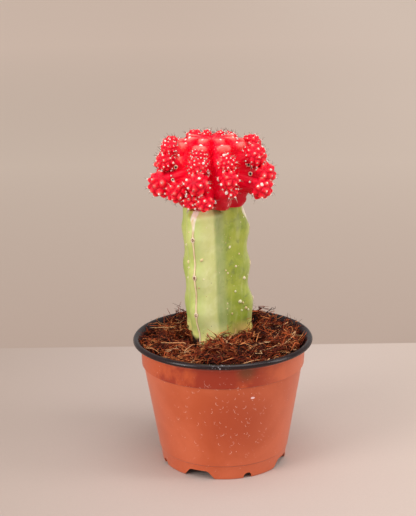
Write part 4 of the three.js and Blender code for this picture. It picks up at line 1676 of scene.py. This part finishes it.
# ---- coir ----
coir = {
    "middleLevel": 72.0,
    "wallLevel": 70.2,
    "frontRise": 2.0,
    "lump": 1.3,
    "hollow": (-21, -1, 4.5, 7),  # x, y, depth and spread
    "heaps": [  # x, y, height and spread of what lies higher or lower than the plain fill
        (20, 21, 10.5, 4.2), (-14, -15, -6.5, 5.5), (-20, -6, 2.2, 4.0), (0, -13, 3.0, 5), (-25, 34, 3.6, 12),
        (30, -22, 1.2, 7),
    ],
    "gap": 0.35,
    "around": 180,
    "rings": 70,
    "crumb": 3.2,  # height of the small lumps
    "reach": 44.5,  # of the face that carries the strands, and its steps from side to side
    "steps": 46,
    "strandRise": 0.6,
    "stemLevel": 74,  # height at which the stem's outline is left out of that face
    "stemZone": (60, 110),  # heights between which strands are kept out of the stem
    "pithDrop": 1.6,
    # The pith is painted near black: its own dark brown, darkened as the painted shade in the gaps between
    # the fibres.
    "pith": (12, 4, 3),
    "pithPale": (48, 18, 10),
    "pithBits": (100, 46, 24),
    "look": {
        "name": "coirFibre",
        "shader": {"Roughness": 0.7, "Specular IOR Level": 0.2},
        "tones": [
            (0.0, (16, 5, 4)), (0.3, (54, 16, 10)), (0.53, (126, 42, 19)), (0.75, (210, 98, 48)),
            (0.9, (242, 160, 98)), (1.0, (246, 202, 152)),
        ],
        "patches": (900.0, 0.4, 0.7),
        "patchColour": (50, 20, 12),
        "patchShare": 0.4,
        "relief": (0.3, 0.0002),
    },
}
coirKinds = {  # density per square metre, lengths and thicknesses in metres, tilt in radians
    "coirCoarse": {"Density": 230000.0, "Length": 0.018, "Spread": 0.5, "Thickness": 0.00038, "Tilt": 0.5,
        "Curl": 0.026, "Points": 10, "Seed": 4},
    "coirCurls": {"Density": 250000.0, "Length": 0.015, "Spread": 0.5, "Thickness": 0.00029, "Tilt": 0.6,
        "Curl": 0.032, "Points": 10, "Seed": 6},
    "coirFine": {"Density": 330000.0, "Length": 0.009, "Spread": 0.5, "Thickness": 0.00016, "Tilt": 0.7,
        "Curl": 0.02, "Points": 6, "Seed": 8},
}


def coirLevel(x, y):
    brim = pot["collarRadius"] - pot["wall"]
    atWall = coir["wallLevel"] - coir["frontRise"] * y / brim
    slope = lerp(coir["middleLevel"], atWall, smooth(math.hypot(x, y), brim / 3, brim))
    coarse = math.sin(x * 0.31 + 1.3) * math.cos(y * 0.27 - 0.6)
    fine = math.sin(x * 0.57 - y * 0.46 + 2.1) * math.cos(y * 0.63 + x * 0.2)
    hollowX, hollowY, depth, spread = coir["hollow"]
    dip = depth * math.exp(-((x - hollowX) ** 2 + (y - hollowY) ** 2) / spread**2)
    return slope + coir["lump"] * (coarse + 0.7 * fine) - dip


def coirTop(x, y):
    top = coirLevel(x, y) + coir["crumb"] * noise.fractal(Vector((x, y, 0)) * 0.17, 0.9, 2.1, 5)
    for heapX, heapY, rise, reach in coir["heaps"]:
        top += rise * math.exp(-((x - heapX) ** 2 + (y - heapY) ** 2) / reach**2)
    return top - 1.0


def coirRing(radius, level=None):
    points = []
    for i in range(coir["around"]):
        point = heading(i * 360 / coir["around"]) * radius
        point.z = coirTop(point.x, point.y) - coir["pithDrop"] if level is None else level
        points.append(point * mm)
    return points


# The pot's inner wall at a height, in mm.
def innerRadius(z):
    if z > pot["height"] - pot["rimDepth"]:
        share = min((z - pot["height"] + pot["rimDepth"]) / 2.7, 1)
        return lerp(pot["collarRadius"] + pot["beadStep"] - pot["wall"], pot["rimRadius"] - 2.8, share)
    if z > pot["collarHeight"]:
        return pot["collarRadius"] - pot["wall"] - 0.2
    return outsideRadius(z) - pot["wall"] - 0.2


def makeEarthMaterial():
    material, tree, place = newMaterial("coirPith", {"Roughness": 0.95, "Specular IOR Level": 0.2})
    cloud = effect(tree, mottle, place, 240.0, 0.4, 0.7)
    # the pith's own dark brown, painted near black as the shade in the gaps between the fibres
    body = mixed(tree, cloud, coir["pith"], coir["pithPale"])
    body = over(tree, body, coir["pithBits"], effect(tree, dots, place, 700.0, 0.35, 0.3), 0.3)
    return finished(material, body, None, effect(tree, grain, place, 900.0, 0.8), 0.8, 0.0006)


def makeEarth():
    bottom = pot["floorHeight"] + pot["floorThickness"] + coir["gap"]
    brim = innerRadius(pot["collarHeight"] + 1) - coir["gap"]
    levels = bottom, pot["footLine"], 30, pot["collarHeight"] - 1.4
    rings = [coirRing(innerRadius(z) - coir["gap"], z) for z in levels]
    rings += [coirRing(brim * (1 - i / coir["rings"])) for i in range(coir["rings"])]
    verts, faces = ringSkin(rings, upBy(bottom) * mm, upBy(coirTop(0, 0) - coir["pithDrop"]) * mm)
    earth = meshPiece("coirPith", verts, faces)
    dress(earth.data, makeEarthMaterial())
    smoothShaded(earth.data, 180)
    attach(earth, "root")
    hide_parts("coir_fill")
    print("pith made,", len(faces), "faces")


# How far a point is outside the stem's outline at its height, in mm, and the direction away from the stem.
def outsideStem(x, y, z):
    centre = stemCentre(z)
    away = Vector((x - centre.x, y - centre.y, 0))
    azimuth = (math.degrees(math.atan2(away.x, -away.y)) - stemTurn(z)) % 360
    for index in range(3):
        start = wings[index]["turn"]
        span = (wings[(index + 1) % 3]["turn"] - start + 360) % 360
        if azimuth < start + span or index == 2:
            return away.length - stemRadius(index, min((azimuth - start) / span, 1), z), away.normalized()


# Strands scattered over a surface in tufts: each is a line laid at random, curled by noise and swept with a
# slim section. Its tone runs from dark to pale, by chance and by tuft.
def makeStrandTree():
    tree, given = geometryTree("strands", {
        "Density": 100000.0, "Length": 0.01, "Spread": 0.4, "Thickness": 0.0002, "Tilt": 0.3, "Curl": 0.006,
        "Points": 8, "Seed": 1,
    })
    seed, tilt = given["Seed"], given["Tilt"]
    position = step(tree, "GeometryNodeInputPosition")
    tufts = ranged(tree, noisy(tree, position, 190.0, 2.0), 0.4, 0.62, 0.15, 2.0)
    scattered = step(tree, "GeometryNodeDistributePointsOnFaces", {
        "Mesh": given["Geometry"], "Density": times(tree, given["Density"], tufts), "Seed": seed,
    })
    lifted = moved(tree, scattered, vectorOf(tree, 0.0, 0.0, randomNumber(tree, -0.0022, 0.0016, seed)))
    back = times(tree, tilt, -1.0)
    spread = (maths(tree, way, 1.0, given["Spread"]) for way in ("SUBTRACT", "ADD"))
    lengths = (times(tree, given["Length"], share) for share in spread)
    placed = step(tree, "GeometryNodeInstanceOnPoints", {
        "Points": lifted,
        "Instance": steppedLine(tree, (-0.5, 0, 0), (0.5, 0, 0), given["Points"]),
        "Rotation": randomVector(tree, vectorOf(tree, back, back), vectorOf(tree, tilt, tilt, 6.283), seed),
        "Scale": randomNumber(tree, *lengths, seed),
    })
    chance = randomNumber(tree, 0.0, 1.0, maths(tree, "ADD", seed, 7.0))
    byTuft = ranged(tree, noisy(tree, position, 105.0, 2.0), 0.34, 0.66)
    shade = toned(tree, placed, linear(tree, byTuft, 0.4, linear(tree, chance, 0.74, -0.09)))
    real = step(tree, "GeometryNodeRealizeInstances", {"Geometry": shade})
    wide = wavering(tree, 100.0, given["Curl"])
    tight = wavering(tree, 240.0, times(tree, given["Curl"], 0.5))
    flatter = vectors(tree, "MULTIPLY", vectors(tree, "ADD", wide, tight), (1.0, 1.0, 0.56))
    arch = maths(tree, "SINE", times(tree, step(tree, "GeometryNodeSplineParameter"), 3.1416))
    uneven = linear(tree, named(tree, "tone", "FLOAT"), 0.5, 0.65)
    width = times(tree, given["Thickness"], linear(tree, arch, 0.7, 0.3), uneven)
    return closeTree(tree, swept(tree, moved(tree, real, flatter), 3, width), given)


# The coir's upper face inside the pot, without what the stem covers.
def coirCarrier():
    reach, steps = coir["reach"], coir["steps"]
    along = np.linspace(-reach, reach, steps)
    verts = [Vector((x, y, coirTop(x, y) + coir["strandRise"])) * mm for y in along for x in along]
    faces = []
    for row in range(steps - 1):
        for column in range(steps - 1):
            corner = row * steps + column
            middle = (verts[corner] + verts[corner + steps + 1]) / 2 / mm
            clear = outsideStem(middle.x, middle.y, coir["stemLevel"])[0]
            if math.hypot(middle.x, middle.y) < reach and clear > -1:
                faces.append((corner, corner + 1, corner + steps + 1, corner + steps))
    return meshPiece("coirTop", verts, faces)


# Keeps strands inside the pot's wall and out of the stem.
def hemIn(mesh, margin):
    flat = np.empty(len(mesh.vertices) * 3, np.float32)
    mesh.vertices.foreach_get("co", flat)
    points = flat.reshape(-1, 3).astype(float) / mm
    lowest, highest = coir["stemZone"]
    for point in points:
        out = math.hypot(point[0], point[1])
        limit = innerRadius(point[2]) - margin
        if out > limit:
            point[:2] *= limit / out
        if lowest < point[2] < highest:
            clear, away = outsideStem(*point)
            if clear < margin:
                point[:2] += np.array(away[:2]) * (margin - clear)
    mesh.vertices.foreach_set("co", np.asarray(points * mm, np.float32).ravel())
    mesh.update()


# Long loose strands placed one by one: azimuth and distance of the root, azimuth of the run, length, rise of
# the middle and of the tip, and tone.
strays = [
    (-84, 44, -60, 9, 3.5, 7.5, 0.7), (-88, 42, -100, 8, 3, 6, 0.3), (-74, 43, -20, 12, 3, 6.5, 0.75),
    (-92, 41, 60, 14, 2, 1, 0.9), (86, 43, 100, 7, 4, 7, 0.7), (80, 42, 40, 9, 4, 7.5, 0.65),
    (74, 40, 120, 10, 4, 8, 0.85), (96, 42, 170, 8, 3, 5.5, 0.6), (28, 22, 70, 17, 5.5, 6.5, 0.97),
    (36, 25, -60, 16, 4.5, 9, 0.98), (20, 24, 75, 12, 3, 5, 0.93), (44, 27, -30, 9, 3, 5.5, 0.9),
    (60, 26, 110, 11, 4, 7, 0.95), (52, 24, 160, 9, 5, 8, 0.88), (-48, 27, 20, 16, 3.5, 3, 0.92),
    (-62, 32, 80, 21, 3, 1.5, 0.88), (-30, 38, 60, 19, 2.5, 1, 0.9), (-12, 40, 110, 14, 2.6, 1.5, 0.95),
    (8, 42, 80, 15, 2.2, 2, 0.96), (30, 41, 100, 18, 3, 3, 0.9), (48, 38, 60, 16, 3, 2.5, 0.94),
    (15, 34, -40, 20, 3, 1.5, 0.86), (-20, 31, -60, 17, 2.5, 1, 0.9), (66, 36, 20, 15, 3, 3, 0.92),
    (-70, 28, 60, 10, 4, 4, 0.5), (120, 36, 150, 10, 5, 6, 0.45), (128, 33, 100, 9, 5, 7, 0.4),
    (112, 34, 60, 9, 5, 7, 0.5), (140, 37, 60, 12, 4, 4, 0.6), (170, 40, 100, 14, 3, 2, 0.8),
    (-170, 39, -100, 15, 3, 2, 0.85), (-140, 38, -60, 14, 3.5, 3, 0.7), (-120, 40, -150, 12, 3, 3, 0.75),
    (-105, 38, -40, 13, 3.5, 4, 0.6), (-55, 42, -110, 13, 2.5, 2, 0.93), (-40, 43, -70, 12, 2.4, 2, 0.9),
]


# Sweeps every line of the carrier with a slim section that thins towards both ends.
def makePathTree():
    tree, given = geometryTree("paths", {"Thickness": 0.0003, "Sides": 5})
    lines = step(tree, "GeometryNodeMeshToCurve", {"Mesh": given["Geometry"]})
    arch = maths(tree, "SINE", linear(tree, step(tree, "GeometryNodeSplineParameter"), 2.9, 0.2))
    return closeTree(tree, swept(tree, lines, given["Sides"], times(tree, given["Thickness"], arch)), given)


def makeStrays(material):
    verts, edges, tones, steps = [], [], [], 10
    for number, (azimuth, distance, run, length, middleRise, tipRise, tone) in enumerate(strays):
        start = heading(azimuth) * distance
        end = start + heading(run) * length
        side = heading(run + 90) * length * 0.22 * (1 if number % 2 else -1)
        middle = (start + end) / 2 + side
        start.z = coirLevel(start.x, start.y) - 1.5
        middle.z = coirLevel(middle.x, middle.y) + 2 * middleRise - tipRise / 2
        end.z = coirLevel(end.x, end.y) + tipRise
        for t in (i / steps for i in range(steps + 1)):
            point = curved(start, middle, end, t)
            waver = [noise.noise(point * 0.4 + Vector((shift, 0, 0))) for shift in (0, 9)]
            point += Vector((*waver, 0)) * 0.8 * t
            if t:
                edges.append((len(verts) - 1, len(verts)))
            verts.append(point * mm)
            tones.append(tone)
    carrier = meshPiece("strayLines", verts, [], edges)
    writeValues(carrier.data, "tone", tones)
    values = {"Thickness": 0.00024, "Sides": 5, "Material": material}
    made = grow("coirStrays", carrier, makePathTree(), values)
    hemIn(made.data, 0.4)
    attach(made, "root")
    print("strays made,", len(strays))


def makeCoir():
    makeEarth()
    fibre, strandTree = tonedMaterial(coir["look"]), makeStrandTree()
    for name, values in coirKinds.items():
        made = grow(name, coirCarrier(), strandTree, {**values, "Material": fibre})
        hemIn(made.data, 0.3)
        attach(made, "root")
        print(name, "made,", len(made.data.polygons), "faces")
    makeStrays(fibre)


# ---- all of it ----
bpy.context.scene.view_settings.view_transform = "Standard"
makeCamera()
makeLights()
makeStage()
print("stage made")
makePot()
makeStem()
makeWarts()
areoleCork = makeAreoleMaterial()
makeStemAreoles(areoleCork)
flesh = makeScion()
areoles = openAreoles(flesh)
makeWool(areoles)
makeBristles(areoles)
makeScionScars(flesh, areoleCork)
makeCoir()
